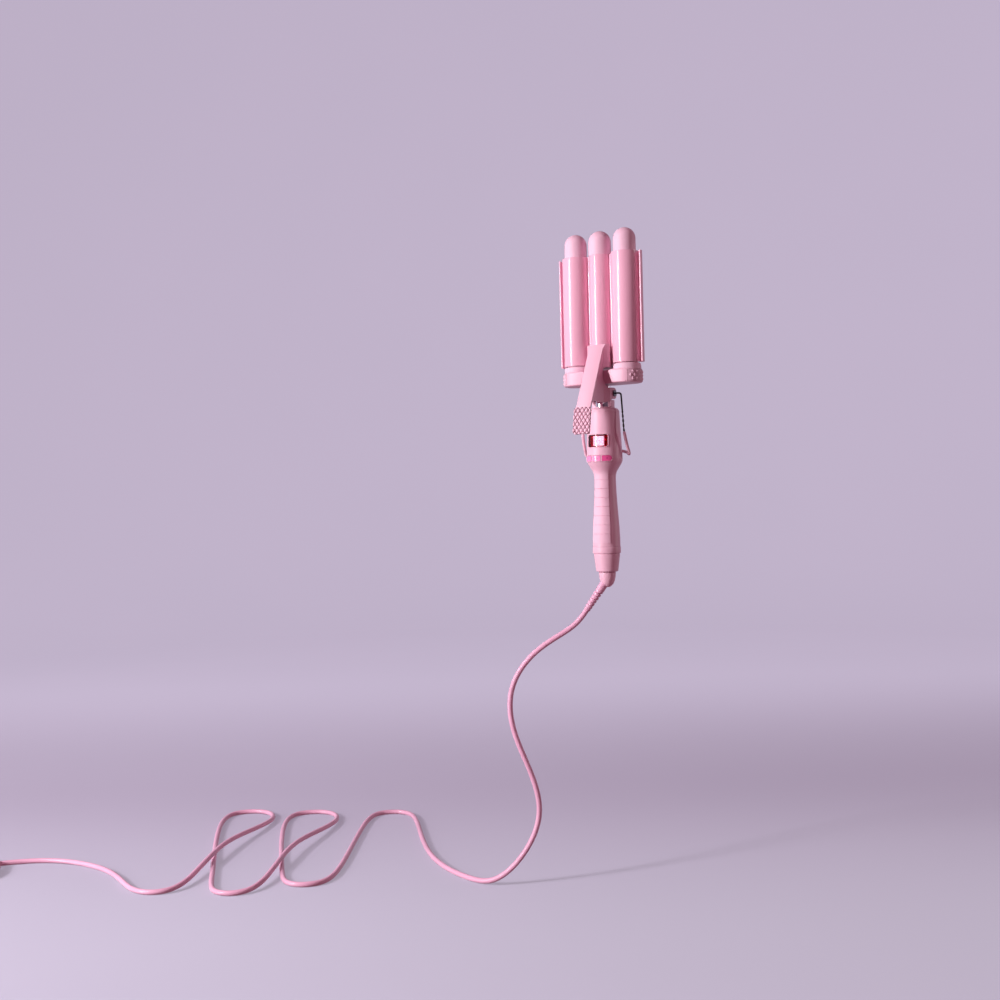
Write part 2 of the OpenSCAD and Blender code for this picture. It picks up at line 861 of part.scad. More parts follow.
body_heights = concat(
    heights(z_band, z_waist - 6, 7), heights(z_waist, z_collar, 8), [z_parting],
    heights(z_parting + 0.5, z_head - head_round, 4)
);

// the handle's outline, drawn in by an inset, without its round top edge
function side_points(inset) = [for (z = body_heights) [handle_r(z) - inset, z]];

module head_top(inset) {
    centre = [head_r - head_round, z_head - head_round];
    polygon(concat(
        [[0, z_head - head_round - 2], [handle_r(z_head - head_round) - inset, z_head - head_round]],
        [for (a = [10:16:90]) centre + (head_round - inset) * [cos(a), sin(a)]],
        [[centre[0], z_head - inset], [0, z_head - inset]]
    ));
}

module handle_solid(inset) {
    rotate_extrude() {
        polygon(concat([[0, z_band]], side_points(inset), [[0, z_head - head_round]]));
        head_top(inset);
    }
}

screw_heights = [z_band + 18, z_waist - 5];

module handle_body() {
    difference() {
        union() {
            difference() {
                union() {
                    handle_solid(0);
                    disc(spigot_r, z_cap + fit_gap, z_band + 1);
                }
                handle_solid(shell_wall);
                disc(spigot_in, z_cap - 1, z_band + 1);
            }
            // clamps for the neck tube and bosses for the screws
            intersection() {
                union() {
                    for (z = [neck_foot + 2, z_head - yoke_foot - clamp_t]) disc(collar_r, z, z + clamp_t);
                    for (z = screw_heights) translate([0, 0, z]) rotate([90, 0, 0])
                        cylinder(r = 3.6, h = far, center = true);
                }
                handle_solid(shell_wall / 2);
            }
        }
        disc(neck_r + fit_gap, neck_foot - eps, z_head + 1);
        disc(yoke_r + fit_gap, z_head - yoke_foot, z_head + 1);
        // the grooves under the head and under its top edge
        rotate_extrude() translate([collar_r - 0.3, z_parting - 0.25]) square([3, 0.5]);
        rotate_extrude() translate([handle_r(z_head - head_round - 0.9) - 0.3, z_head - head_round - 1.1])
            square([3, 0.45]);
    }
}

module front_shell() {
    color("pink") difference() {
        handle_body();
        translate([-far, -fit_gap, -far]) cube([2 * far, far, 5 * far]);
        // display window
        translate([0, -5, z_window]) rotate([90, 0, 0]) linear_extrude(height = far)
            pad_outline(2 * window_half_w, window_h, 2);
        // opening for the button frame
        pill(frame_half_h, side_reach + part_gap + frame_rim);
        // recess for the grip panel
        intersection() {
            difference() {
                handle_solid(-1);
                handle_solid(1);
            }
            front_sector(far, 0.5, panel_turn, panel_low, panel_high);
        }
        for (z = screw_heights) translate([0, -handle_r(z) + shell_wall, z]) rotate([-90, 0, 0])
            cylinder(r = 1.3, h = far);
    }
}

module rear_shell() {
    color("pink") difference() {
        handle_body();
        translate([-far, fit_gap - far, -far]) cube([2 * far, far, 5 * far]);
        for (z = screw_heights) {
            translate([0, 0, z]) rotate([-90, 0, 0]) cylinder(r = 1.6, h = far);
            translate([0, handle_r(z) - shell_wall - 1, z]) rotate([-90, 0, 0]) cylinder(r = 2.9, h = far);
        }
    }
}

module handle_screws() {
    color("silver") for (z = screw_heights) translate([0, 0, z]) {
        reach = handle_r(z) - shell_wall - 1;
        translate([0, reach, 0]) rotate([-90, 0, 0]) cylinder(r = 2.6, h = 1.6);
        translate([0, reach + eps, 0]) rotate([90, 0, 0]) cylinder(r = 1.25, h = reach + 6);
    }
}

panel_low = z_band + 4;
panel_high = z_waist + 8;
groove_w = 0.7;

// a soft panel with fine grooves, let into the front shell
module grip_panel() {
    span = panel_high - panel_low;
    color("lightpink") difference() {
        intersection() {
            difference() {
                handle_solid(-0.35);
                handle_solid(1 - fit_gap);
            }
            front_sector(far, 0.5, panel_turn - 0.3, panel_low + fit_gap, panel_high - fit_gap);
        }
        for (i = [1:groove_count]) let(z = panel_low + i * span / (groove_count + 1))
            rotate_extrude() translate([handle_r(z) - 0.15, z])
            polygon([[0, 0], [far, -groove_w * 60], [far, groove_w * 60]]);
    }
}

module handle_band() {
    color("pink") rotate_extrude() polygon([
        [spigot_r + fit_gap, z_cap + fit_gap], [band_r - 0.5, z_cap + fit_gap], [band_r, z_cap + 0.6],
        [band_r, z_band - 0.6], [band_r - 0.5, z_band - fit_gap], [spigot_r + fit_gap, z_band - fit_gap]
    ]);
}

// the tapered end that holds the shells together and carries the swivel
module end_cap() {
    color("pink") rotate_extrude() polygon([
        [swivel_bore + fit_gap, z_end], [cap_r - 0.8, z_end], [cap_r, z_end + 0.8],
        [cap_top_r - 0.4, z_cap - 3], [cap_top_r - 0.2, z_cap - 0.6], [cap_top_r - 0.6, z_cap],
        [spigot_in - fit_gap, z_cap], [spigot_in - fit_gap, z_band],
        [spigot_in - 2, z_band], [spigot_in - 2, z_end + 3], [swivel_bore + fit_gap, z_end + 3]
    ]);
}

// ---------- controls ----------

// a flat outline set on the collar and cut in along the direction that a button travels in
module facing(turn, inner) {
    translate([0, 0, z_button]) rotate([0, 0, turn]) rotate([90, 0, 0])
        translate([0, 0, inner]) linear_extrude(height = far) children();
}

// a long bar that ends in a half round
module round_end(half_h, end) {
    translate([end - half_h - 2 * strip_r, -half_h]) square([2 * strip_r, 2 * half_h]);
    translate([end - half_h, 0]) circle(r = half_h);
}

// the opening of the control strip, from one rounded end round the front to the other
module pill(half_h, end) {
    both_sides() facing(side_turn, strip_r - 2) round_end(half_h, end);
}

module display_lens() {
    color([0.45, 0.02, 0.06, 0.7]) intersection() {
        difference() {
            handle_solid(0.15);
            handle_solid(shell_wall - 0.2);
        }
        translate([0, -5, z_window]) rotate([90, 0, 0]) linear_extrude(height = far)
            pad_outline(2 * (window_half_w - fit_gap), window_h - 2 * fit_gap, 2 - fit_gap);
    }
}

module display_module() {
    frame_w = 21;
    frame_h = 12.6;
    face_w = 13.6;
    face_h = 10.4;
    color("maroon") translate([0, 0, z_window]) rotate([90, 0, 0]) {
        translate([0, 0, -board_y + fit_gap]) linear_extrude(height = lcd_front + board_y - fit_gap)
            square([frame_w, frame_h], center = true);
        translate([0, 0, lcd_front - eps]) linear_extrude(height = 0.6)
            square([face_w, face_h], center = true);
    }
}

module circuit_board() {
    low = z_collar - 11;
    high = neck_foot - 1;
    color("darkgreen") {
        translate([-9.5, board_y, low]) cube([19, board_t, high - low]);
        for (x = [-5, 0, 5]) translate([x - 1.5, board_y + board_t - eps, low + 6]) cube([3, 2, 4]);
        translate([0, 0, low + 4]) for (x = [-6, 6]) translate([x, board_y + board_t, 0])
            rotate([-90, 0, 0]) cylinder(r = 1.5, h = handle_r(low + 4) - shell_wall - board_y - board_t - 3);
        translate([0, board_y + board_t - eps, high - 5]) rotate([-90, 0, 0])
            cylinder(r = 2, h = handle_r(high) - shell_wall - board_y - board_t - 0.3);
    }
}

switch_t = 1.2;
strip_half_h = 3.4;
strip_turn = 53;
strip_leg = 8.9;

// the curved strip behind the buttons, with one switch dome for each, carried by the board
module switch_strip() {
    dome_top = flange_r - flange_t - stem_length - button_travel - 0.1;
    middle = strip_r + switch_t / 2;
    leg_front = sqrt(middle * middle - strip_leg * strip_leg);
    color("seagreen") {
        translate([0, 0, z_button - strip_half_h]) linear_extrude(height = 2 * strip_half_h) {
            front_arc(strip_r + switch_t, strip_r, strip_turn);
            both_sides() translate([strip_leg - 0.6, -leg_front])
                square([1.2, leg_front + board_y - fit_gap]);
        }
        for (a = [-side_turn, 0, side_turn]) radial_bar(2, strip_r + switch_t / 2, dome_top, a, z_button);
    }
}

// the cap of the middle or of a side button between two radii
module button_slab(side, outer, inner, grow, grow_turn) {
    half_h = button_h / 2 + grow;
    if (side == 0) {
        front_sector(outer, inner, button_turn + grow_turn, z_button - half_h, z_button + half_h);
    } else intersection() {
        rotate([0, 0, side * (side_start + side_turn)])
            front_sector(outer, inner, side_turn + grow_turn, z_button - 2 * half_h, z_button + 2 * half_h);
        if (side > 0) facing(side_turn, 0) round_end(half_h, side_reach + grow);
        else mirror([1, 0, 0]) facing(side_turn, 0) round_end(half_h, side_reach + grow);
    }
}

module button(side) {
    turn = side * side_turn;
    color("deeppink") {
        button_slab(side, collar_r + button_proud, flange_r - eps, 0, 0);
        button_slab(side, flange_r, flange_r - flange_t, flange_lip, -0.5);
        radial_bar(1.4, flange_r - flange_t - stem_length, flange_r - 0.2, turn, z_button);
    }
}

module minus_button() {
    button(-1);
}

module power_button() {
    button(0);
}

module plus_button() {
    button(1);
}

// the bezel round the three buttons
module button_frame() {
    gap_turn = 0.75;
    color("pink") difference() {
        intersection() {
            ring(collar_r + 0.15, button_seat + 0.1, z_collar - 3, z_parting);
            pill(frame_half_h - fit_gap, side_reach + part_gap + frame_rim - fit_gap);
        }
        for (side = [-1, 0, 1]) button_slab(side, far, 5, part_gap, gap_turn);
    }
}

// ---------- stand ----------

module stand_legs() {
    stub = ear_out + washer_t + 1;
    leg_wire = stand_wire - 0.03;
    leg = [
        [stub - 0.8, 0, z_hinge], [stand_top - 3, 0, z_hinge], [stand_top - 1.2, 0, z_hinge - 0.5],
        [stand_top - 0.3, 0, z_hinge - 1.7], [stand_top, 0, shoulder_z],
        [stand_top + 1.7, -1, z_hinge - 22], [stand_top + 3.5, -2, sleeve_z],
        [stand_top + 4.1, 0, sleeve_z - 8]
    ];
    color("black") both_sides() {
        translate([stub - 5.5, 0, z_hinge]) rotate([0, 90, 0]) cylinder(r = stand_wire, h = 5.5);
        swept_bar(leg, leg_wire, 12);
    }
}

module stand_bow() {
    half = [
        [stand_top + 3.5, -2, sleeve_z], [stand_top + 4.1, 0, sleeve_z - 8],
        [stand_top + 4.5, 3.5, sleeve_z - 17], [stand_foot, 6.1, foot_z + 2.5],
        [stand_foot - 0.3, 7.2, foot_z + 0.3], [stand_foot - 1.6, 9, foot_z],
        [stand_foot - 5, 13.5, foot_z + 1.4], [stand_foot - 11, 19, foot_z + 3],
        [stand_foot - 18, bow_rear - 1.3, foot_z + 4.3], [0, bow_rear, foot_z + 5]
    ];
    other = [for (i = [len(half) - 2:-1:0]) [-half[i][0], half[i][1], half[i][2]]];
    color("hotpink") swept_bar(concat(half, other), bow_r, 12);
}

// ---------- cord ----------

// the insulated block of slip rings inside the end cap
module swivel_contacts() {
    color("ivory") difference() {
        disc(spigot_in - 2 - fit_gap, z_end + 8, z_end + 20);
        disc(4.6, z_end + 7, z_end + 17);
    }
}

module cord_swivel() {
    color("plum") difference() {
        rotate_extrude() polygon(concat(
            [[0, z_swivel - swivel_length], [2.5, z_swivel - swivel_length + 0.2]],
            [for (a = [72:-9:0]) [
                swivel_r * pow(cos(a), 0.8), z_swivel - 1 - (swivel_length - 1.3) * sin(a)
            ]],
            [[swivel_r, z_swivel - 0.6], [swivel_r - 0.6, z_swivel], [swivel_bore, z_swivel],
            [swivel_bore, z_end + 3 + swivel_gap], [8.4, z_end + 3 + swivel_gap], [8.4, z_end + 5.5],
            [4.3, z_end + 5.5], [4.3, z_end + 15], [0, z_end + 15]]
        ));
        relief_bar(relief_r + fit_gap, relief_r + fit_gap, relief_start - 2.5, relief_start + relief_length);
    }
}

module relief_bar(r1, r2, start, finish) {
    translate(relief_root) rotate([0, 180 - relief_tilt, relief_turn])
        translate([0, 0, start]) cylinder(r1 = r1, r2 = r2, h = finish - start);
}

module strain_relief() {
    rib_step = 4;
    color("pink") difference() {
        union() {
            relief_bar(relief_r, relief_r, relief_start - 2.5, relief_start + 8);
            relief_bar(relief_r, relief_tip_r, relief_start + 8 - eps, relief_start + relief_length);
        }
        for (s = [relief_start + 13:rib_step:relief_start + relief_length - 3]) difference() {
            relief_bar(relief_r + 1, relief_r + 1, s, s + 1.3);
            relief_bar(cord_r + 0.3, cord_r + 0.3, s - 1, s + 3);
        }
    }
}

module cord() {
    color("pink") swept_bar(smooth_curve(cord_guides(), cord_steps), cord_r, 8);
}

// the put-away length, wound flat beside the end of the loops, with its free end
module cord_coil() {
    color("pink") translate([coil_centre[0], coil_centre[1], z_floor]) {
        translate([0, 0, coil_bundle]) rotate_extrude() translate([coil_r, 0]) circle(r = coil_bundle);
        translate([-coil_r, 0, plug_body_h / 2]) rotate([90, 0, 0]) cylinder(r = cord_r, h = tail_length);
    }
}

// a plain two-pin plug that lies flat beside the coil
module plug_body() {
    shoulder = plug_body_length * 0.65;
    color("hotpink") translate(plug_root) {
        translate([0, 0, -plug_body_h / 2]) linear_extrude(height = plug_body_h) polygon([
            [-plug_body_w / 2, -plug_body_length], [plug_body_w / 2, -plug_body_length],
            [plug_body_w / 2, shoulder - plug_body_length], [6, 0], [-6, 0],
            [-plug_body_w / 2, shoulder - plug_body_length]
        ]);
        rotate([-90, 0, 0]) translate([0, 0, -eps]) cylinder(r1 = cord_r + 2, r2 = cord_r + 0.6, h = plug_relief);
    }
}

module plug_pins() {
    color("silver") translate(plug_root) for (side = [-1, 1])
        translate([side * plug_pin_pitch / 2, -plug_body_length, 0]) rotate([90, 0, 0])
        cylinder(r = plug_pin_r, h = plug_pin_length);
}

rear_plate();
left_tip_cap();
right_tip_cap();
left_heater();
right_heater();
left_heat_spreader();
right_heat_spreader();
base_block();
left_collar();
right_collar();
left_end_pad();
right_end_pad();
barrel_screws();
front_plate();
middle_tip_cap();
middle_heater();
middle_heat_spreader();
lever();
thumb_pad();
middle_barrel_screw();
neck_tube();
neck_yoke();
hinge_pin();
hinge_washers();
lever_spring();
heater_leads();
front_shell();
rear_shell();
grip_panel();
handle_band();
end_cap();
handle_screws();
display_lens();
display_module();
circuit_board();
switch_strip();
button_frame();
minus_button();
power_button();
plus_button();
stand_legs();
stand_bow();
swivel_contacts();
cord_swivel();
strain_relief();
cord();
cord_coil();
plug_body();
plug_pins();
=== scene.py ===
"""Hair waver: the dressed model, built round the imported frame."""

import json
import logging
import math
from dataclasses import dataclass
from enum import Enum
from typing import Iterable, Sequence, Union

import bmesh
import bpy
from mathutils import Matrix, Vector

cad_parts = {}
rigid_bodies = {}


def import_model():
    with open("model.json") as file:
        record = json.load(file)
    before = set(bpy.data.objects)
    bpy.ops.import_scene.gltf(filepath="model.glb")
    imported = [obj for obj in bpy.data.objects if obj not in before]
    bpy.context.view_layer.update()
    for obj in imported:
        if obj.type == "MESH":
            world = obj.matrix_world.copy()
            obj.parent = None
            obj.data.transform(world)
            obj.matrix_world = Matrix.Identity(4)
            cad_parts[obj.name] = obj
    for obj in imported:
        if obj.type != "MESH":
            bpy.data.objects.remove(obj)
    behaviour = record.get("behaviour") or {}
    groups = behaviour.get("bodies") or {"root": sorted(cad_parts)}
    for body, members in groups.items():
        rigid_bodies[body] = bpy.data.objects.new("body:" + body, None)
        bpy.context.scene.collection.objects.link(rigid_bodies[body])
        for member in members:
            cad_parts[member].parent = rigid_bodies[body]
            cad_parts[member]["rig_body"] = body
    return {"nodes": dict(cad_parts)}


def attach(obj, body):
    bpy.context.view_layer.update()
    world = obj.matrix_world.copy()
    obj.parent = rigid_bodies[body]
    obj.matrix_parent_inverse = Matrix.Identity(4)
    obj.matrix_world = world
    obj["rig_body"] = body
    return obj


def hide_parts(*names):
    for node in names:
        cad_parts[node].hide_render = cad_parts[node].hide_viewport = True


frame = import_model()
for spare in [o for o in bpy.data.objects if "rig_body" not in o and o.type in {"MESH", "LIGHT", "CAMERA"}]:
    bpy.data.objects.remove(spare)
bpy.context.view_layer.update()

LOG = logging.getLogger("hair_waver")
MM = 0.001
Colour = tuple[float, float, float]
Point = tuple[float, float, float]
Value = Union["Sock", float, Sequence[float]]

FLOOR_Z = -0.407
CORD_R = 0.003


def tint(red: int, green: int, blue: int) -> Colour:
    """Turns a colour written from 0 to 255 into the linear one that shaders use."""
    def linear(level: int) -> float:
        """One channel in linear light."""
        part = level / 255
        return part / 12.92 if part <= 0.04045 else ((part + 0.055) / 1.055) ** 2.4
    return (linear(red), linear(green), linear(blue))


# ---------- shader maths ----------


class Sock:
    """An output socket that can be used in Python expressions."""

    def __init__(self, shader: "Shader", socket: bpy.types.NodeSocket) -> None:
        """Keeps the socket and the shader that it belongs to."""
        self.shader = shader
        self.socket = socket

    def _math(self, operation: str, first: Value, second: Value) -> "Sock":
        """A Math node on two values."""
        return self.shader.node("ShaderNodeMath", {"operation": operation}, {0: first, 1: second})

    def __add__(self, other: Value) -> "Sock":
        """This value plus another."""
        return self._math("ADD", self, other)

    def __radd__(self, other: Value) -> "Sock":
        """Another value plus this one."""
        return self._math("ADD", other, self)

    def __sub__(self, other: Value) -> "Sock":
        """This value less another."""
        return self._math("SUBTRACT", self, other)

    def __rsub__(self, other: Value) -> "Sock":
        """Another value less this one."""
        return self._math("SUBTRACT", other, self)

    def __mul__(self, other: Value) -> "Sock":
        """This value times another."""
        return self._math("MULTIPLY", self, other)

    def __rmul__(self, other: Value) -> "Sock":
        """Another value times this one."""
        return self._math("MULTIPLY", other, self)

    def __truediv__(self, other: Value) -> "Sock":
        """This value divided by another."""
        return self._math("DIVIDE", self, other)

    def __lt__(self, other: Value) -> "Sock":
        """One where this value is the smaller."""
        return self._math("LESS_THAN", self, other)

    def __gt__(self, other: Value) -> "Sock":
        """One where this value is the larger."""
        return self._math("GREATER_THAN", self, other)

    def __abs__(self) -> "Sock":
        """The size of this value."""
        return self._math("ABSOLUTE", self, 0.0)

    def either(self, other: "Sock") -> "Sock":
        """The larger of two masks."""
        return self._math("MAXIMUM", self, other)

    def step(self, low: float, high: float) -> "Sock":
        """A soft step from nought at low to one at high."""
        return self.shader.node(
            "ShaderNodeMapRange", {"interpolation_type": "SMOOTHSTEP"}, {0: self, 1: low, 2: high}
        )


class Shader:
    """A material under construction, with one Principled shader."""

    def __init__(self, name: str) -> None:
        """Starts an empty material.

        Args:
            name: the material's name.
        """
        self.material = bpy.data.materials.new(name)
        self.material.use_nodes = True
        self.tree = self.material.node_tree
        self.tree.nodes.clear()
        self.surface = self.tree.nodes.new("ShaderNodeBsdfPrincipled")
        out = self.tree.nodes.new("ShaderNodeOutputMaterial")
        self.tree.links.new(self.surface.outputs[0], out.inputs[0])

    def node(
        self, kind: str, settings: dict | None = None, inputs: dict | None = None, output: int | str = 0
    ) -> Sock:
        """Adds a node.

        Args:
            kind: the node's type.
            settings: properties, set first.
            inputs: socket names or numbers with the values or links for them.
            output: the output that is wanted.

        Returns:
            The output as a Sock.
        """
        made = self.tree.nodes.new(kind)
        for key, value in (settings or {}).items():
            setattr(made, key, value)
        for key, value in (inputs or {}).items():
            self.plug(made.inputs[key], value)
        return Sock(self, made.outputs[output])

    def plug(self, socket: bpy.types.NodeSocket, value: Value) -> None:
        """Links a Sock to an input, or sets the input's own value."""
        if isinstance(value, Sock):
            self.tree.links.new(value.socket, socket)
        elif isinstance(value, (int, float)):
            socket.default_value = value
        else:
            size = len(socket.default_value)
            socket.default_value = (*value, 1.0)[:size] if len(value) < size else value

    def set(self, **values: Value) -> None:
        """Sets or links inputs of the main shader, with _ for a space in a name."""
        for key, value in values.items():
            self.plug(self.surface.inputs[key.replace("_", " ")], value)

    def place(self) -> Sock:
        """The point on the piece, in metres in the object's frame."""
        return self.node("ShaderNodeTexCoord", output="Object")

    def axes(self) -> tuple[Sock, Sock, Sock]:
        """The point's three coordinates apart."""
        parts = self.node("ShaderNodeSeparateXYZ", None, {0: self.place()})
        outputs = parts.socket.node.outputs
        return tuple(Sock(self, outputs[i]) for i in range(3))

    def noise(self, scale: float, detail: float = 2.0, stretch: Point = (1, 1, 1)) -> Sock:
        """Noise from nought to one on the point.

        Args:
            scale: waves per metre.
            detail: octaves.
            stretch: factors on the three axes.

        Returns:
            The noise value.
        """
        where = self.node("ShaderNodeMapping", None, {"Vector": self.place(), "Scale": stretch})
        return self.node("ShaderNodeTexNoise", None, {"Vector": where, "Scale": scale, "Detail": detail})

    def blend(self, mask: Value, first: Value, second: Value) -> Sock:
        """A colour between two, by a mask."""
        return self.node(
            "ShaderNodeMix", {"data_type": "RGBA"}, {"Factor": mask, 6: first, 7: second}, output=2
        )

    def relief(self, height: Sock, depth: float) -> Sock:
        """A bump of a height from nought to one, with its depth in metres."""
        return self.node("ShaderNodeBump", None, {"Height": height, "Distance": depth, "Strength": 1.0})

    def base_colour(self) -> Sock:
        """What feeds the base colour at present."""
        return Sock(self, self.surface.inputs["Base Color"].links[0].from_socket)


# ---------- finishes ----------


class Grain(Enum):
    """How a surface is textured at close range."""

    SPARK = "fine pits of a spark-eroded mould"
    COAT = "slow ripples of a sprayed coat"
    BRUSHED = "lines from turning or drawing"
    SMOOTH = "next to none"


CLOUD_WAVES = 22  # a metre, in the slow change of a moulding's colour
SMEAR_WAVES = 60  # a metre, in the wear of its gloss


@dataclass(frozen=True)
class Finish:
    """A solid-coloured finish and its close-range detail."""

    name: str
    colour: Colour
    roughness: float
    grain: Grain = Grain.SPARK
    grain_size: float = 0.35 * MM
    grain_depth: float = 0.01 * MM
    metallic: float = 0.0
    coat: float = 0.0
    coat_roughness: float = 0.1
    mottle: float = 0.05
    dust: float = 0.04

    def base(self) -> Shader:
        """Builds the material and returns its shader, for more to be added."""
        shader = Shader(self.name)
        deep = tuple(c * (1 - 2 * self.mottle) for c in self.colour)
        cloud = shader.noise(CLOUD_WAVES, 3)
        shader.set(Base_Color=shader.blend(cloud.step(0.3, 0.7), deep, self.colour))
        smear = shader.noise(SMEAR_WAVES, 4).step(0.42, 0.72)
        shader.set(Roughness=self.roughness * (1 - self.dust) + smear * (2 * self.dust))
        shader.set(Metallic=self.metallic, Coat_Weight=self.coat, Coat_Roughness=self.coat_roughness)
        if self.grain is not Grain.SMOOTH:
            lines = (1, 1, 0.03) if self.grain is Grain.BRUSHED else (1, 1, 1)
            pits = shader.noise(1 / self.grain_size, 2.0, lines)
            shader.set(Normal=shader.relief(pits, self.grain_depth))
        return shader

    def material(self) -> bpy.types.Material:
        """Builds the material."""
        return self.base().material


@dataclass(frozen=True)
class SoftFinish(Finish):
    """Soft-touch moulding with painted shade: it is darker down in its knurling, by the groove attribute."""

    # painted shade: the dark colour laid into the knurling's grooves
    groove: Colour = tint(88, 12, 40)
    groove_shade_start: float = 0.45
    groove_shade_end: float = 0.95

    def material(self) -> bpy.types.Material:
        """Builds the material, with painted shade down in its grooves."""
        shader = self.base()
        depth = shader.node("ShaderNodeAttribute", {"attribute_name": "groove"}, output="Fac")
        # painted shade, from none on the crests to deepest at the foot of each groove
        deep = depth.step(self.groove_shade_start, self.groove_shade_end)
        shader.set(Base_Color=shader.blend(deep * 0.95, shader.base_colour(), self.groove))
        return shader.material


@dataclass(frozen=True)
class ButtonFinish(Finish):
    """Hot pink moulding with painted light: two buttons are painted paler, as if lit, and each button has a
    small dark mark.
    """

    turn: float = 34.5
    height: float = 0.062
    reach: float = 0.0195
    long: float = 0.9 * MM
    thin: float = 0.16 * MM
    ring_out: float = 1.15 * MM
    ring_in: float = 0.85 * MM
    mark: Colour = tint(112, 18, 62)
    # painted light: the paler colour of the two buttons on the lit side
    pale: Colour = tint(244, 140, 192)

    def material(self) -> bpy.types.Material:
        """Builds the material with its marks for less, on and more."""
        shader = self.base()
        across, back, up = shader.axes()
        angle = shader.node("ShaderNodeMath", {"operation": "ARCTAN2"}, {0: across, 1: 0 - back})
        turn = math.radians(self.turn)
        rise = up - self.height

        def bar(middle: float, wide: float, high: float) -> Sock:
            """A small bar, centred on an angle."""
            return (abs((angle - middle) * self.reach) < wide) * (abs(rise) < high)

        spot = (angle * self.reach) * (angle * self.reach) + rise * rise
        ring = (spot < self.ring_out ** 2) * (spot > self.ring_in ** 2)
        marks = bar(-turn, self.long, self.thin).either(bar(turn, self.long, self.thin))
        marks = marks.either(bar(turn, self.thin, self.long)).either(ring)
        # painted light: the left and middle buttons, on the key lamp's side, are painted paler
        paler = angle < turn / 2
        colour = shader.blend(paler, shader.base_colour(), self.pale)
        shader.set(Base_Color=shader.blend(marks, colour, self.mark))
        return shader.material


@dataclass(frozen=True)
class WireFinish(Finish):
    """Black lacquer, rubbed through to steel in places."""

    bare: Colour = (0.35, 0.34, 0.36)
    rub_waves: float = 420.0
    rub_start: float = 0.66
    rub_end: float = 0.76
    shine: float = 0.8

    def material(self) -> bpy.types.Material:
        """Builds the material with its rubbed places."""
        shader = self.base()
        rubbed = shader.noise(self.rub_waves, 4).step(self.rub_start, self.rub_end)
        shader.set(Base_Color=shader.blend(rubbed, self.colour, self.bare), Metallic=rubbed * self.shine)
        return shader.material


@dataclass(frozen=True)
class WindowFinish(Finish):
    """Faintly tinted glossy window over the display, dark red towards its two sides."""

    side: Colour = tint(176, 14, 44)
    side_start: float = 7.7 * MM
    side_end: float = 8.4 * MM

    def material(self) -> bpy.types.Material:
        """Builds the tinted window."""
        shader = self.base()
        across, _, _ = shader.axes()
        red = shader.blend(abs(across).step(self.side_start, self.side_end), self.colour, self.side)
        shader.set(Base_Color=red, Transmission_Weight=1.0, IOR=1.2)
        return shader.material


@dataclass(frozen=True)
class DisplayFinish(Finish):
    """A lit display face with the faint segments of three figures, in a dark red frame that has a faint glow
    of painted light.
    """

    half_wide: float = 6.8 * MM
    half_high: float = 5.2 * MM
    height: float = 0.0812
    frame_colour: Colour = tint(140, 0, 20)
    # painted light: a faint red glow on the frame round the lit face
    frame_painted_glow: Colour = tint(112, 0, 10)
    figure: Colour = tint(150, 108, 140)
    pitch: float = 4.3 * MM
    stroke: float = 0.28 * MM
    figure_high: float = 2.7 * MM
    figure_wide: float = 1.3 * MM
    strength: float = 0.66

    def material(self) -> bpy.types.Material:
        """Builds the display from its place on the module."""
        shader = self.base()
        across, _, up = shader.axes()
        rise = up - self.height
        face = (abs(across) < self.half_wide) * (abs(rise) < self.half_high)
        turns = shader.node("ShaderNodeMath", {"operation": "FRACT"}, {0: across / self.pitch + 0.5})
        aside = abs((turns - 0.5) * self.pitch)
        level = abs(rise)
        bars = (abs(level - self.figure_high) < self.stroke).either(level < self.stroke)
        flat = bars * (aside < self.figure_wide - 0.3 * MM)
        tall = (abs(aside - self.figure_wide) < self.stroke) * (level < self.figure_high - 0.1 * MM)
        figures = flat.either(tall) * (abs(across) < 1.5 * self.pitch)
        lit = shader.blend(figures * 0.6, self.colour, self.figure)
        colour = shader.blend(face, self.frame_colour, lit)
        # the face glows as a lit display; the frame's glow is painted light
        glow = shader.blend(face, self.frame_painted_glow, lit)
        shader.set(Base_Color=colour, Emission_Color=glow, Emission_Strength=self.strength)
        return shader.material


@dataclass(frozen=True)
class BoardFinish(Finish):
    """Green board with paler tracks."""

    cells: float = 240.0
    track: float = 0.06
    track_colour: Colour = tint(150, 170, 90)

    def material(self) -> bpy.types.Material:
        """Builds the board with its tracks."""
        shader = self.base()
        pattern = shader.node(
            "ShaderNodeTexBrick", {"offset": 0.5},
            {"Vector": shader.place(), "Scale": self.cells, "Mortar Size": self.track,
             "Color1": self.colour, "Color2": tuple(1.4 * c for c in self.colour),
             "Mortar": self.track_colour},
        )
        shader.set(Base_Color=pattern)
        return shader.material


PLATE = Finish("coated plate", tint(240, 178, 202), 0.34, Grain.COAT, 2.5 * MM, 0.004 * MM,
               coat=0.7, coat_roughness=0.12, mottle=0.008, dust=0.012)
GLOSS = Finish("pink moulding", tint(234, 182, 203), 0.44, Grain.SPARK, 0.4 * MM, 0.005 * MM,
               coat=0.16, coat_roughness=0.3, mottle=0.02)
SATIN = Finish("satin moulding", tint(236, 190, 211), 0.55, Grain.SPARK, 0.3 * MM, 0.012 * MM, mottle=0.02)
SOFT = SoftFinish("soft grip with painted groove shade", tint(236, 187, 208), 0.58, Grain.SPARK, 0.25 * MM, 0.012 * MM, mottle=0.02)
CHROME = Finish("polished chrome", (0.86, 0.86, 0.88), 0.06, Grain.COAT, 2 * MM, 0.002 * MM, metallic=1.0,
                mottle=0.01)
STEEL = Finish("bright steel", (0.6, 0.6, 0.62), 0.26, Grain.BRUSHED, 0.2 * MM, 0.004 * MM, metallic=1.0)
DARK_STEEL = Finish("dark steel", (0.16, 0.16, 0.17), 0.34, Grain.BRUSHED, 0.2 * MM, 0.004 * MM, metallic=1.0)
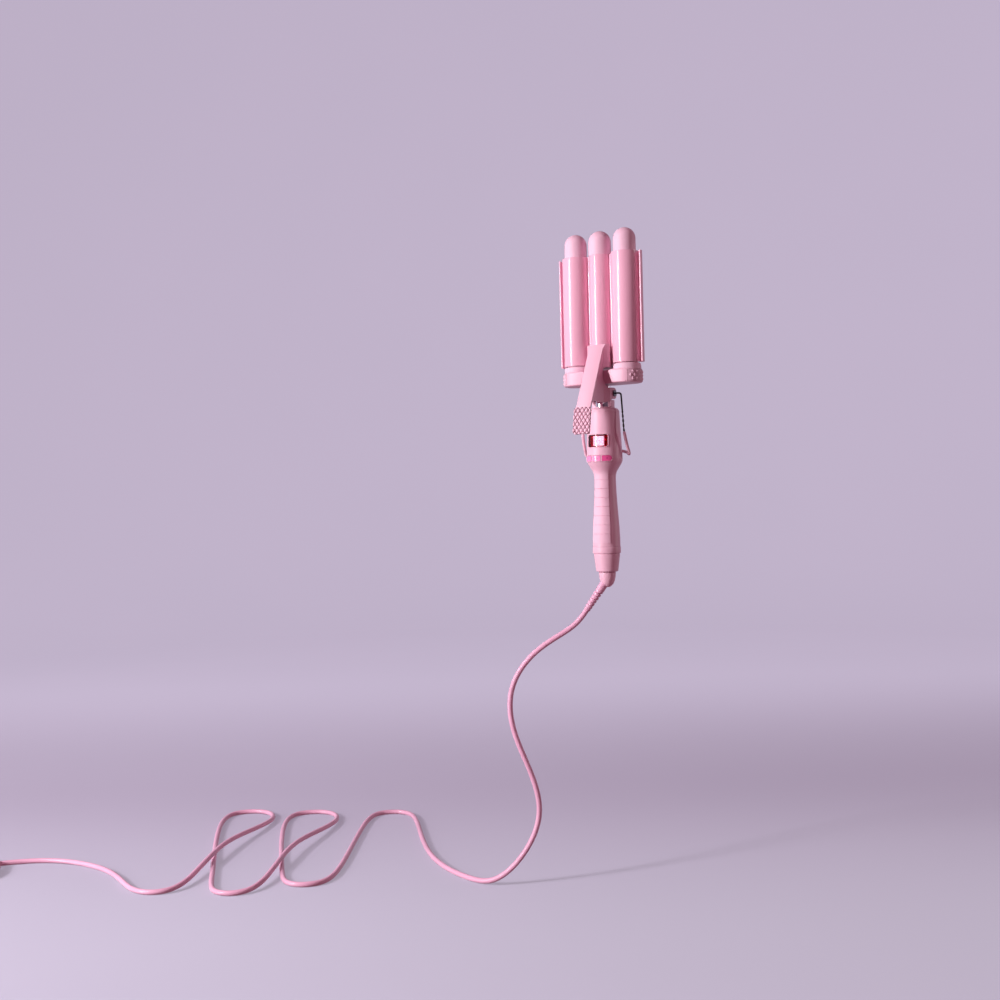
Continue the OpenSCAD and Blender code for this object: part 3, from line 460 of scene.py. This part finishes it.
ALUMINIUM = Finish("aluminium", (0.76, 0.76, 0.78), 0.36, Grain.BRUSHED, 0.3 * MM, 0.006 * MM, metallic=1.0)
CERAMIC = Finish("fired ceramic", tint(236, 234, 226), 0.62, Grain.SPARK, 0.5 * MM, 0.02 * MM)
CORD = Finish("cord sleeve", tint(235, 175, 204), 0.36, Grain.SPARK, 0.6 * MM, 0.012 * MM, coat=0.2)
BUTTON = ButtonFinish("hot pink moulding with painted light", tint(242, 92, 160), 0.22, Grain.SMOOTH, coat=0.5,
                      coat_roughness=0.08)
WIRE = WireFinish("black lacquer", (0.018, 0.016, 0.02), 0.3, Grain.COAT, 0.8 * MM, 0.01 * MM, coat=0.3)
WINDOW = WindowFinish("red window", tint(253, 230, 240), 0.03, Grain.SMOOTH, coat=0.4, coat_roughness=0.02)
DISPLAY = DisplayFinish("display", tint(246, 236, 248), 0.4, Grain.SMOOTH)
BOARD = BoardFinish("green board", tint(20, 90, 56), 0.45, Grain.SMOOTH)

SLOT_FINISH: dict[str, Finish] = {
    "coated_plate": PLATE, "pink_gloss": GLOSS, "pink_satin": SATIN, "soft_pink": SOFT, "magenta": BUTTON,
    "lens_tint": WINDOW, "display_face": DISPLAY, "chrome": CHROME, "steel": STEEL, "black_wire": WIRE,
    "dark_steel": DARK_STEEL, "aluminium": ALUMINIUM, "ceramic": CERAMIC, "board": BOARD, "cord_pink": CORD,
}


class Wardrobe:
    """Makes each finish once and hands it out by the record's slot."""

    def __init__(self) -> None:
        """Starts with no materials made."""
        self.made: dict[str, bpy.types.Material] = {}

    def get(self, slot: str) -> bpy.types.Material:
        """The material of a slot."""
        if slot not in self.made:
            self.made[slot] = SLOT_FINISH[slot].material()
        return self.made[slot]

    def dress_nodes(self) -> None:
        """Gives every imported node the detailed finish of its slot."""
        for node in frame["nodes"].values():
            for place in node.material_slots:
                place.material = self.get(place.material.name.split(".")[0])

    def dress(self, piece: bpy.types.Object, slot: str) -> None:
        """Gives a new piece the finish of a slot."""
        piece.data.materials.clear()
        piece.data.materials.append(self.get(slot))


# ---------- camera, lights and floor ----------


@dataclass(frozen=True)
class Lamp:
    """A soft rectangular lamp, out of the camera's sight."""

    name: str
    place: Point
    aim: Point
    size: tuple[float, float]
    watts: float
    mirrored: bool = True

    def build(self) -> None:
        """Makes the lamp."""
        data = bpy.data.lights.new(self.name, "AREA")
        data.shape, data.size, data.size_y = "RECTANGLE", self.size[0], self.size[1]
        data.energy = self.watts
        lamp = bpy.data.objects.new(self.name, data)
        lamp.location = self.place
        lamp.rotation_euler = (Vector(self.aim) - Vector(self.place)).to_track_quat("-Z", "Y").to_euler()
        lamp.visible_camera = False
        lamp.visible_glossy = self.mirrored
        bpy.context.scene.collection.objects.link(lamp)


@dataclass
class Studio:
    """Camera, lamps and the pale sweep that the object stands before."""

    eye: Point = (0.5817, -1.1294, 0.0193)
    right: Point = (0.8434, 0.5373, 0.0)
    ahead: Point = (-0.5373, 0.8434, 0.0)
    roll: float = math.radians(1.36)
    lens: float = 41.4
    lamps: tuple[Lamp, ...] = (
        Lamp("key", (-1.12, -1.68, 0.45), (0, 0, 0.1), (0.27, 1.9), 36),
        Lamp("hard_key", (-1.18, -1.86, 0.66), (-0.1, 0, -0.05), (0.2, 0.2), 33, mirrored=False),
        Lamp("rim", (1.35, 0.75, 0.5), (0, 0, 0.1), (0.16, 1.5), 4),
    )
    sky: Colour = tint(255, 168, 192)
    sky_strength: float = 0.2
    backdrop: Colour = tint(194, 182, 206)
    near_glow: Colour = tint(150, 148, 161)
    # painted shade: the glow in the sweep's bend behind the object
    bend_shade_glow: Colour = tint(127, 121, 138)
    far_glow: Colour = tint(173, 167, 187)
    bend_shade_span: tuple[float, float] = (-0.2, 0.5)
    far_span: tuple[float, float] = (0.3, 1.5)
    mirror_span: tuple[float, float] = (-0.6, 0.2)
    floor_reach: float = 2.6
    sweep: float = 1.4
    wall: float = 6.0
    lit_share: float = 0.6
    paper_made: bpy.types.Material | None = None

    def camera(self) -> None:
        """Makes the camera level but for a small roll."""
        data = bpy.data.cameras.new("camera")
        data.lens, data.sensor_width = self.lens, 36.0
        camera = bpy.data.objects.new("camera", data)
        up = Vector((0, 0, 1))
        right = Vector(self.right) * math.cos(self.roll) - up * math.sin(self.roll)
        above = up * math.cos(self.roll) + Vector(self.right) * math.sin(self.roll)
        turn = Matrix((right, above, -Vector(self.ahead))).transposed().to_4x4()
        camera.matrix_world = Matrix.Translation(self.eye) @ turn
        bpy.context.scene.collection.objects.link(camera)
        bpy.context.scene.camera = camera

    def world(self) -> None:
        """A low even light from all round."""
        world = bpy.data.worlds.new("studio")
        bpy.context.scene.world = world
        world.use_nodes = True
        sky = world.node_tree.nodes["Background"]
        sky.inputs["Color"].default_value = (*self.sky, 1.0)
        sky.inputs["Strength"].default_value = self.sky_strength

    def paper(self) -> bpy.types.Material:
        """The backdrop's paper: a part of its colour is lit, and the rest shows to camera and mirrors.

        Its glow is painted darker in the bend behind the object, as shade there, and mirrors see the glow
        only from there on.

        Returns:
            The material.
        """
        shader = Shader("backdrop paper with painted bend shade")
        cloud = shader.noise(1.6, 2).step(0.25, 0.75)
        lit = tuple(self.lit_share * c for c in self.backdrop)
        deep = tuple(0.95 * c for c in lit)
        shader.set(Base_Color=shader.blend(cloud, deep, lit), Roughness=0.9, Specular_IOR_Level=0.1)
        shader.set(Normal=shader.relief(shader.noise(900, 2), 0.02 * MM))
        across, back, _ = shader.axes()
        depth = across * self.ahead[0] + back * self.ahead[1]
        # painted shade: the glow dips in the bend, then rises again up the wall
        own = shader.blend(depth.step(*self.bend_shade_span), self.near_glow, self.bend_shade_glow)
        own = shader.blend(depth.step(*self.far_span), own, self.far_glow)
        seen = [shader.node("ShaderNodeLightPath", output=f"Is {kind} Ray")
                for kind in ("Camera", "Glossy", "Transmission")]
        camera, glossy, through = seen
        shown = camera.either(glossy * depth.step(*self.mirror_span)).either(through)
        shader.set(Emission_Color=shader.blend(shown, (0, 0, 0), own), Emission_Strength=1.0)
        return shader.material

    def spun(self, name: str, line: Sequence[tuple[float, float]]) -> bpy.types.Object:
        """Spins a line round the upright axis.

        Args:
            name: the piece's name.
            line: (reach, height) points.

        Returns:
            The spun piece, which is no part of the object.
        """
        bm = bmesh.new()
        points = [bm.verts.new((reach, 0, height)) for reach, height in line]
        edges = [bm.edges.new(pair) for pair in zip(points, points[1:])]
        bmesh.ops.spin(bm, geom=[*points, *edges], cent=(0, 0, 0), axis=(0, 0, 1), angle=math.tau,
                       steps=96, use_merge=True)
        bmesh.ops.remove_doubles(bm, verts=bm.verts, dist=1e-5)
        bmesh.ops.recalc_face_normals(bm, faces=bm.faces)
        piece = finish_mesh(bm, name, smooth=80)
        piece.data.materials.append(self.paper_made)
        return piece

    def floor(self) -> None:
        """A floor that sweeps up into a round wall; the world's light reaches the object through both."""
        self.paper_made = self.paper()
        floor = self.spun("floor", [(0, FLOOR_Z), (self.floor_reach, FLOOR_Z)])
        floor.visible_diffuse = False
        bend = [(self.floor_reach + self.sweep * math.sin(a), FLOOR_Z + self.sweep * (1 - math.cos(a)))
                for a in (math.radians(d) for d in range(0, 91, 6))]
        wall = self.spun("wall", [*bend, (self.floor_reach + self.sweep, FLOOR_Z + self.wall)])
        wall.visible_diffuse = wall.visible_shadow = False

    def build(self) -> None:
        """Sets the colours to plain and makes everything."""
        bpy.context.scene.view_settings.view_transform = "Standard"
        self.camera()
        for lamp in self.lamps:
            lamp.build()
        self.world()
        self.floor()


# ---------- mesh helpers ----------


def finish_mesh(bm: bmesh.types.BMesh, name: str, smooth: float = 35) -> bpy.types.Object:
    """Turns a bmesh into an object at the origin.

    Args:
        bm: the mesh under construction, which is freed.
        name: the piece's name.
        smooth: edges sharper than this many degrees stay sharp.

    Returns:
        The new object.
    """
    limit = math.radians(smooth)
    for face in bm.faces:
        face.smooth = True
    for edge in bm.edges:
        edge.smooth = len(edge.link_faces) != 2 or edge.calc_face_angle(0) < limit
    mesh = bpy.data.meshes.new(name)
    bm.to_mesh(mesh)
    bm.free()
    piece = bpy.data.objects.new(name, mesh)
    bpy.context.scene.collection.objects.link(piece)
    return piece


def box_of(piece: bpy.types.Object) -> tuple[Vector, Vector]:
    """The low and the high corner of a mesh object's box."""
    corners = [Vector(corner) for corner in piece.bound_box]
    return tuple(Vector(pick(c[i] for c in corners) for i in range(3)) for pick in (min, max))


def eased_copy(node: str, name: str, ease: float, angle: float = 30, segments: int = 2,
               guard: bool = False) -> bpy.types.Object:
    """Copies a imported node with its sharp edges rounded.

    Args:
        node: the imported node.
        name: the new piece's name.
        ease: how far the rounding reaches from an edge, in metres.
        angle: edges sharper than this many degrees are rounded.
        segments: facets across each rounding.
        guard: whether the rounding shrinks where it would meet itself.

    Returns:
        The piece, which replaces the node.
    """
    bm = bmesh.new()
    bm.from_mesh(frame["nodes"][node].data)
    bmesh.ops.remove_doubles(bm, verts=bm.verts, dist=2e-6)
    bmesh.ops.dissolve_limit(bm, angle_limit=math.radians(0.4), verts=bm.verts, edges=bm.edges)
    limit = math.radians(angle)
    sharp = [e for e in bm.edges if len(e.link_faces) == 2 and e.calc_face_angle(0) > limit]
    bmesh.ops.bevel(bm, geom=sharp, offset=ease, offset_type="OFFSET", segments=segments, profile=0.5,
                    affect="EDGES", material=-1, clamp_overlap=guard)
    low, high = box_of(frame["nodes"][node])
    for vert in bm.verts:
        vert.co = Vector(min(max(c, a), b) for c, a, b in zip(vert.co, low, high))
    piece = finish_mesh(bm, name)
    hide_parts(node)
    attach(piece, frame["nodes"][node]["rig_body"])
    return piece


def smooth_route(guides: Sequence[Vector], steps: int) -> list[Vector]:
    """A smooth curve drawn towards guide points, from the first to the last.

    Args:
        guides: the guide points.
        steps: points on each stretch.

    Returns:
        The points of the curve.
    """
    ends = [2 * guides[0] - guides[1], *guides, 2 * guides[-1] - guides[-2]]
    route: list[Vector] = []
    for a, b, c, d in zip(ends, ends[1:], ends[2:], ends[3:]):
        for k in range(steps):
            t = k / steps
            route.append(((1 - t) ** 3 * a + (3 * t ** 3 - 6 * t * t + 4) * b
                          + (-3 * t ** 3 + 3 * t * t + 3 * t + 1) * c + t ** 3 * d) / 6)
    return [*route, Vector(guides[-1])]


def eased(t: float) -> float:
    """A smooth step of a value from nought to one."""
    t = min(max(t, 0.0), 1.0)
    return t * t * (3 - 2 * t)


# ---------- cord ----------


@dataclass
class Cord:
    """The cord: it hangs from the swivel, lies on the floor and ends in a coil and a plug."""

    relief_turn: float = 212.5
    relief_tilt: float = 35.0
    relief_root: Point = (0, 0, -70)
    relief_reach: float = 41.0
    coil_centre: tuple[float, float] = (-679, -339)
    coil_r: float = 33.0
    coil_wide: float = 39.2
    coil_entry: float = 118.0
    coil_end: float = 782.0
    seat_square: float = 36.6
    aside_most: float = 6.0
    climb: tuple[float, float] = (300.0, 360.0)
    over_start: tuple[float, float] = (645.0, 680.0)
    over_end: tuple[float, float] = (722.0, 772.0)
    over_rise: float = 6.2
    leave_from: float = 720.0
    leave_rise: float = 4.0
    plug: Point = (-712, -380, -400)
    hang: tuple[Point, ...] = (
        (-68, -44, -144), (-95, -60, -184), (-94, -59, -233), (-74, -46, -283), (-64, -41, -328),
        (-82, -52, -372), (-112, -66, -404),
    )
    lie: tuple[Point, ...] = (
        (-144, -70, 0), (-232, -33, 0), (-340, 96, 0), (-377, 128, 0), (-415, 106, 0), (-405, 63, 0),
        (-294, -116, 0), (-281, -162, 0), (-319, -185, 0), (-353, -150, 0), (-505, 9, 0),
        (-513, 55, 0), (-471, 79, 0), (-433, 49, 0), (-412, -30, 6), (-396, -91, 9), (-349, -172, 6),
        (-331, -222, 0), (-371, -246, 0), (-406, -207, 0), (-584, -30, 0), (-593, 16, 0),
        (-550, 40, 0), (-513, 10, 0), (-492, -70, 6), (-475, -128, 9), (-427, -212, 6),
        (-409, -261, 0), (-453, -288, 0), (-528, -238, 0), (-640, -241, 0),
    )
    low: float = -404.0
    steps: int = 12

    def relief_way(self) -> Vector:
        """The direction in which the strain relief points."""
        turn, tilt = math.radians(self.relief_turn), math.radians(self.relief_tilt)
        return Vector((math.cos(turn) * math.sin(tilt), math.sin(turn) * math.sin(tilt), -math.cos(tilt)))

    def coil_point(self, turned: float) -> Vector:
        """A point of the coil, so many degrees on from its start.

        The second turn widens and sits in the groove beside the first, then crosses over it and leaves.

        Args:
            turned: degrees from the coil's start.

        Returns:
            The point in millimetres.
        """
        def share(span: tuple[float, float]) -> float:
            """How far the turn has come through a span of degrees."""
            return eased((turned - span[0]) / (span[1] - span[0]))

        second = max(turned - 360, 0) / 360
        reach = self.coil_r + (self.coil_wide - self.coil_r) * min(second, 1.0)
        aside = min(reach - self.coil_r, self.aside_most)
        seat = math.sqrt(max(self.seat_square - aside * aside, 0.0))
        over = share(self.over_start) * (1 - share(self.over_end))
        rise = share(self.climb) * max(seat, self.over_rise * over)
        if turned > self.leave_from:
            rise = max(rise, self.leave_rise * share((self.leave_from, self.coil_end)))
        angle = math.radians(self.coil_entry + turned)
        return Vector((self.coil_centre[0] + reach * math.cos(angle),
                       self.coil_centre[1] + reach * math.sin(angle), self.low + rise))

    def points(self) -> list[Vector]:
        """The cord's centreline in metres, from the strain relief to the plug."""
        way = self.relief_way()
        tip = Vector(self.relief_root) + self.relief_reach * way
        lie = [Vector((x, y, self.low + rise)) for x, y, rise in self.lie]
        coil = [self.coil_point(a) for a in range(0, int(self.coil_end) + 1, 6)]
        route = smooth_route([tip + 0.15 * way, tip + 24 * way, *map(Vector, self.hang), *lie, coil[0]],
                             self.steps)
        end = Vector(self.plug)
        tail = smooth_route([coil[-1], coil[-1] + Vector((0.6, -9, 0)), end + Vector((0, 22, 0.2)),
                             end + Vector((0, 11, 0)), end], 6)
        return [p * MM for p in [*route, *coil[1:-1], *tail]]

    def build(self, wardrobe: Wardrobe) -> None:
        points = self.points()
        length = sum((b - a).length for a, b in zip(points, points[1:]))
        data = bpy.data.curves.new("supply_cord", "CURVE")
        data.dimensions = "3D"
        data.bevel_depth, data.bevel_resolution, data.use_fill_caps = CORD_R, 4, True
        spline = data.splines.new("POLY")
        spline.points.add(len(points) - 1)
        for slot, point in zip(spline.points, points):
            slot.co = (*point, 1.0)
        spline.use_smooth = True
        cord = bpy.data.objects.new("supply_cord", data)
        bpy.context.scene.collection.objects.link(cord)
        wardrobe.dress(cord, "cord_pink")
        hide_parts("cord", "cord_coil")
        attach(cord, "swivel")
        LOG.info("supply_cord: %.3f m", length)


# ---------- stand ----------


def through_route(points: Sequence[Vector], steps: int) -> list[Vector]:
    """A smooth curve through every one of its points.

    Args:
        points: the points, from the first to the last.
        steps: points on each stretch.

    Returns:
        The points of the curve.
    """
    ends = [2 * points[0] - points[1], *points, 2 * points[-1] - points[-2]]
    route: list[Vector] = []
    for a, b, c, d in zip(ends, ends[1:], ends[2:], ends[3:]):
        for k in range(steps):
            t = k / steps
            route.append(0.5 * (2 * b + (c - a) * t + (2 * a - 5 * b + 4 * c - d) * t * t
                                + (3 * b - a - 3 * c + d) * t ** 3))
    return [*route, points[-1].copy()]


def round_ends(route: Sequence[Vector], radius: float) -> list[tuple[Vector, float]]:
    """Adds points at both ends of a route, at which a bar round it draws in to a dome.

    Args:
        route: the points of the middle line.
        radius: the bar's radius.

    Returns:
        Each point with the share of the radius that the bar has there.
    """
    def dome(end: Vector, way: Vector) -> list[tuple[Vector, float]]:
        """The points of one dome, from its tip inwards."""
        turns = [math.radians(a) for a in (8, 25, 45, 65)]
        return [(end + way * radius * (1 - math.sin(math.pi / 2 - a)), math.sin(a)) for a in turns]
    first, last = (route[1] - route[0]).normalized(), (route[-2] - route[-1]).normalized()
    start = [p for p in route[1:-1] if min((p - route[0]).length, (p - route[-1]).length) > radius]
    return [*dome(route[0], first), *[(p, 1.0) for p in start], *reversed(dome(route[-1], last))]


def wires(name: str, routes: Iterable[Sequence[Vector]], radius: float, body: str,
          closed: bool = False) -> bpy.types.Object:
    """Makes round bars with rounded ends along routes, as one mesh.

    Args:
        name: the piece's name.
        routes: one list of points in metres for each bar.
        radius: the bars' radius in metres.
        body: the body that carries them.
        closed: whether each route joins up with its start.

    Returns:
        The new object.
    """
    data = bpy.data.curves.new(name, "CURVE")
    data.dimensions = "3D"
    data.bevel_depth, data.bevel_resolution, data.use_fill_caps = radius, 4, True
    for route in routes:
        line = [(p, 1.0) for p in route] if closed else round_ends(route, radius)
        spline = data.splines.new("POLY")
        spline.use_cyclic_u = closed
        spline.points.add(len(line) - 1)
        for slot, (point, share) in zip(spline.points, line):
            slot.co, slot.radius = (*point, 1.0), share
    guide = bpy.data.objects.new(name, data)
    bpy.context.scene.collection.objects.link(guide)
    shape = bpy.data.meshes.new_from_object(guide.evaluated_get(bpy.context.evaluated_depsgraph_get()))
    bpy.data.objects.remove(guide)
    bm = bmesh.new()
    bm.from_mesh(shape)
    bmesh.ops.remove_doubles(bm, verts=bm.verts, dist=1e-6)
    bmesh.ops.recalc_face_normals(bm, faces=bm.faces)
    piece = finish_mesh(bm, name, smooth=60)
    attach(piece, body)
    return piece


@dataclass
class Stand:
    """The fold-out stand: two wires, each a twisted pair lower down, and the moulded bow."""

    hinge: float = 133.0
    sleeve: float = 91.0
    foot: float = 66.5
    top_half: float = 21.9
    foot_half: float = 26.7
    rear: float = 24.0
    inner: float = 10.2
    wire_r: float = 0.97
    strand_r: float = 0.58
    bow_r: float = 1.7
    twist_start: float = 113.0
    twist_pitch: float = 10.5
    twist_overlap: float = 5.0
    twist_fan: float = 6.0
    twist_steps: int = 110

    def leg(self) -> list[Vector]:
        """The middle line of the right leg, from inside the hinge pin into the bow."""
        top, hinge = self.top_half, self.hinge
        points = [
            (self.inner, 0, hinge), (15, 0, hinge), (top - 3, 0, hinge), (top - 1.2, 0, hinge - 0.5),
            (top - 0.3, 0, hinge - 1.7), (top, 0, hinge - 3.2), (top + 1.7, -1, hinge - 22),
            (top + 3.5, -2, self.sleeve), (top + 4.1, 0, self.sleeve - 8),
        ]
        return through_route([Vector(q) * MM for q in points], 10)

    def twisted(self, line: Sequence[Vector]) -> list[list[Vector]]:
        """Two strands wound round a line."""
        far = [0.0]
        for a, b in zip(line, line[1:]):
            far.append(far[-1] + (b - a).length)
        strands: list[list[Vector]] = [[], []]
        for k in range(self.twist_steps + 1):
            want = far[-1] * k / self.twist_steps
            i = max(j for j in range(len(far) - 1) if far[j] <= want + 1e-9)
            t = (want - far[i]) / (far[i + 1] - far[i])
            middle = line[i].lerp(line[i + 1], t)
            way = (line[i + 1] - line[i]).normalized()
            side = way.cross(Vector((0, 1, 0))).normalized()
            other = way.cross(side)
            turn = math.tau * want / (self.twist_pitch * MM)
            spread = (self.strand_r - 0.06) * MM * eased(want / (self.twist_fan * MM))
            for half, strand in enumerate(strands):
                angle = turn + math.pi * half
                strand.append(middle + spread * (math.cos(angle) * side + math.sin(angle) * other))
        return strands

    def bow(self) -> list[Vector]:
        """The middle line of the bow, from the right leg round the back to the left."""
        top, foot, low = self.top_half, self.foot_half, self.foot
        half = [
            (top + 3.5, -2, self.sleeve), (top + 4.1, 0, self.sleeve - 8), (top + 4.5, 3.5, self.sleeve - 17),
            (foot, 6.1, low + 2.5), (foot - 0.3, 7.2, low + 0.3), (foot - 1.6, 9, low),
            (foot - 5, 13.5, low + 1.4), (foot - 11, 19, low + 3), (foot - 18, self.rear - 1.3, low + 4.3),
            (0, self.rear, low + 5),
        ]
        other = [(-x, y, z) for x, y, z in reversed(half[:-1])]
        return through_route([Vector(q) * MM for q in [*half, *other]], 10)

    def build(self, wardrobe: "Wardrobe") -> None:
        """Makes the wires and the bow."""
        leg = self.leg()
        upper = [p for p in leg if p.z >= self.twist_start * MM - 1e-4]
        lower = [p for p in leg if p.z <= (self.twist_start + self.twist_overlap) * MM]
        strands = self.twisted(lower)
        mirrored = [[Vector((-p.x, p.y, p.z)) for p in line] for line in (upper, *strands)]
        plain = wires("stand_wires", [upper, mirrored[0]], self.wire_r * MM, "stand")
        pairs = wires("stand_twists", [*strands, *mirrored[1:]], self.strand_r * MM, "stand")
        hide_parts("stand_legs")
        bow = wires("stand_bow_moulding", [self.bow()], self.bow_r * MM, "stand")
        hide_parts("stand_bow")
        for piece, slot in ((plain, "black_wire"), (pairs, "black_wire"), (bow, "pink_gloss")):
            wardrobe.dress(piece, slot)
            LOG.info("%s", piece.name)


# ---------- beads round the window and the buttons ----------


@dataclass
class Beads:
    """The raised beads moulded round the display window and round the row of buttons."""

    window_half: tuple[float, float] = (12.3, 7.1)
    window_corner: float = 2.5
    window_z: float = 81.2
    window_r: float = 0.5
    pill_half: float = 3.53
    pill_end: float = 6.03
    pill_turn: float = 34.5
    pill_z: float = 62.0
    pill_r: float = 0.4
    skin: float = 19.9
    far: float = 60.0

    def landed(self, node: str, start: Vector, way: Vector) -> Vector:
        """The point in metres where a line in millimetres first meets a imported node."""
        hit, place, _, _ = frame["nodes"][node].ray_cast(start * MM, way)
        if not hit:
            raise ValueError(f"no skin of {node} at {tuple(start)}")
        return place

    def window_line(self) -> list[Vector]:
        """The middle line of the bead round the window, on the front shell."""
        wide, high = self.window_half
        corner = self.window_corner
        outline: list[tuple[float, float]] = []
        for quarter in range(4):
            x = (wide - corner) * (1 if quarter in (0, 3) else -1)
            z = (high - corner) * (1 if quarter in (0, 1) else -1)
            outline += [(x + corner * math.cos(a), z + corner * math.sin(a))
                        for a in (math.radians(90 * quarter + 15 * k) for k in range(7))]
        line: list[Vector] = []
        for (x, z), (x_next, z_next) in zip(outline, outline[1:] + outline[:1]):
            count = max(int(math.hypot(x_next - x, z_next - z) / 1.0), 1)
            for k in range(count):
                t = k / count
                start = Vector((x + (x_next - x) * t, -self.far, self.window_z + z + (z_next - z) * t))
                line.append(self.landed("front_shell", start, Vector((0, 1, 0))))
        return line

    def pill_line(self) -> list[Vector]:
        """The middle line of the bead round the buttons, on the bezel."""
        reach = self.pill_end - self.pill_half
        turn = math.radians(self.pill_turn)
        edge = turn + math.asin(reach / self.skin)
        half: list[Vector] = []
        for k in range(24):
            angle = edge * (2 * k / 24 - 1)
            half.append(Vector((self.skin * math.sin(angle), -self.skin * math.cos(angle), self.pill_half)))
        for k in range(13):
            a = math.radians(90 - 15 * k)
            side, rise = reach + self.pill_half * math.cos(a), self.pill_half * math.sin(a)
            deep = math.sqrt(self.skin ** 2 - side ** 2)
            half.append(Vector((side * math.cos(turn) + deep * math.sin(turn),
                                side * math.sin(turn) - deep * math.cos(turn), rise)))
        rest = [Vector((-p.x, p.y, -p.z)) for p in half]
        return [(p + Vector((0, 0, self.pill_z))) * MM for p in [*half, *rest]]

    def build(self, wardrobe: "Wardrobe") -> None:
        """Makes both beads."""
        for name, line, radius in (("window_bead", self.window_line(), self.window_r),
                                   ("button_bead", self.pill_line(), self.pill_r)):
            bead = wires(name, [line], radius * MM, "handle", closed=True)
            wardrobe.dress(bead, "pink_gloss")
            LOG.info("%s", name)


# ---------- mouldings with rounded edges ----------


@dataclass(frozen=True)
class Easing:
    """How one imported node's edges are rounded."""

    node: str
    ease: float
    slot: str
    angle: float = 30.0
    segments: int = 2
    guard: bool = False


@dataclass
class Mouldings:
    """The solid mouldings, copied from their nodes with rounded edges."""

    eased: tuple[Easing, ...] = (
        Easing("lever", 0.5 * MM, "pink_gloss", guard=True),
        Easing("base_block", 0.5 * MM, "pink_gloss"),
        Easing("neck_yoke", 0.4 * MM, "pink_gloss"),
        Easing("end_cap", 0.3 * MM, "pink_gloss"),
        Easing("handle_band", 0.3 * MM, "pink_gloss"),
        Easing("front_plate", 0.2 * MM, "coated_plate"),
        Easing("rear_plate", 0.2 * MM, "coated_plate"),
        Easing("thumb_pad", 0.06 * MM, "soft_pink", segments=1),
        Easing("left_end_pad", 0.06 * MM, "soft_pink", segments=1),
        Easing("right_end_pad", 0.06 * MM, "soft_pink", segments=1),
        Easing("plug_body", 2.0 * MM, "pink_gloss"),
        Easing("strain_relief", 0.15 * MM, "cord_pink"),
    )

    pad_place: Point = (0, -49.5, 101.5)
    pad_lean: float = math.atan(5 / 29)
    pad_crest: float = 2.3
    pad_depth: float = 1.05
    barrel_x: float = 30.0
    block_r: float = 16.3
    rise: float = 1.1
    # share of the painted groove shade that the end pads get
    end_shade_share: float = 0.62

    def grooved(self, node: str, point: Vector) -> float:
        """How deep in its pad's knurling a point lies, from nought on the crests to one at the foot, and less
        on the end pads; it sets the painted groove shade.
        """
        if node == "thumb_pad":
            out = Vector((0, -math.cos(self.pad_lean), math.sin(self.pad_lean)))
            return (self.pad_crest - (point - Vector(self.pad_place)).dot(out)) / self.pad_depth
        reach = math.hypot(abs(point.x) - self.barrel_x, point.y)
        return self.end_shade_share * (self.block_r + self.rise - reach) / self.rise

    def build(self, wardrobe: "Wardrobe") -> None:
        """Makes every copy and dresses it."""
        for plan in self.eased:
            piece = eased_copy(plan.node, f"{plan.node}_eased", plan.ease, plan.angle, plan.segments,
                               plan.guard)
            # painted shade: each knurled pad's points keep their groove depth, which darkens the soft grip
            # there
            if plan.slot == "soft_pink":
                shades = piece.data.attributes.new("groove", "FLOAT", "POINT")
                for vert, shade in zip(piece.data.vertices, shades.data):
                    shade.value = min(max(self.grooved(plan.node, vert.co / MM), 0.0), 1.0)
            wardrobe.dress(piece, plan.slot)
            LOG.info("%s: %d faces", piece.name, len(piece.data.polygons))


# ---------- main ----------


def main() -> None:
    """Builds the scene."""
    logging.basicConfig(level=logging.INFO, format="%(message)s")
    wardrobe = Wardrobe()
    Studio().build()
    Mouldings().build(wardrobe)
    Cord().build(wardrobe)
    Stand().build(wardrobe)
    Beads().build(wardrobe)
    wardrobe.dress_nodes()


if __name__ == "__main__":
    main()
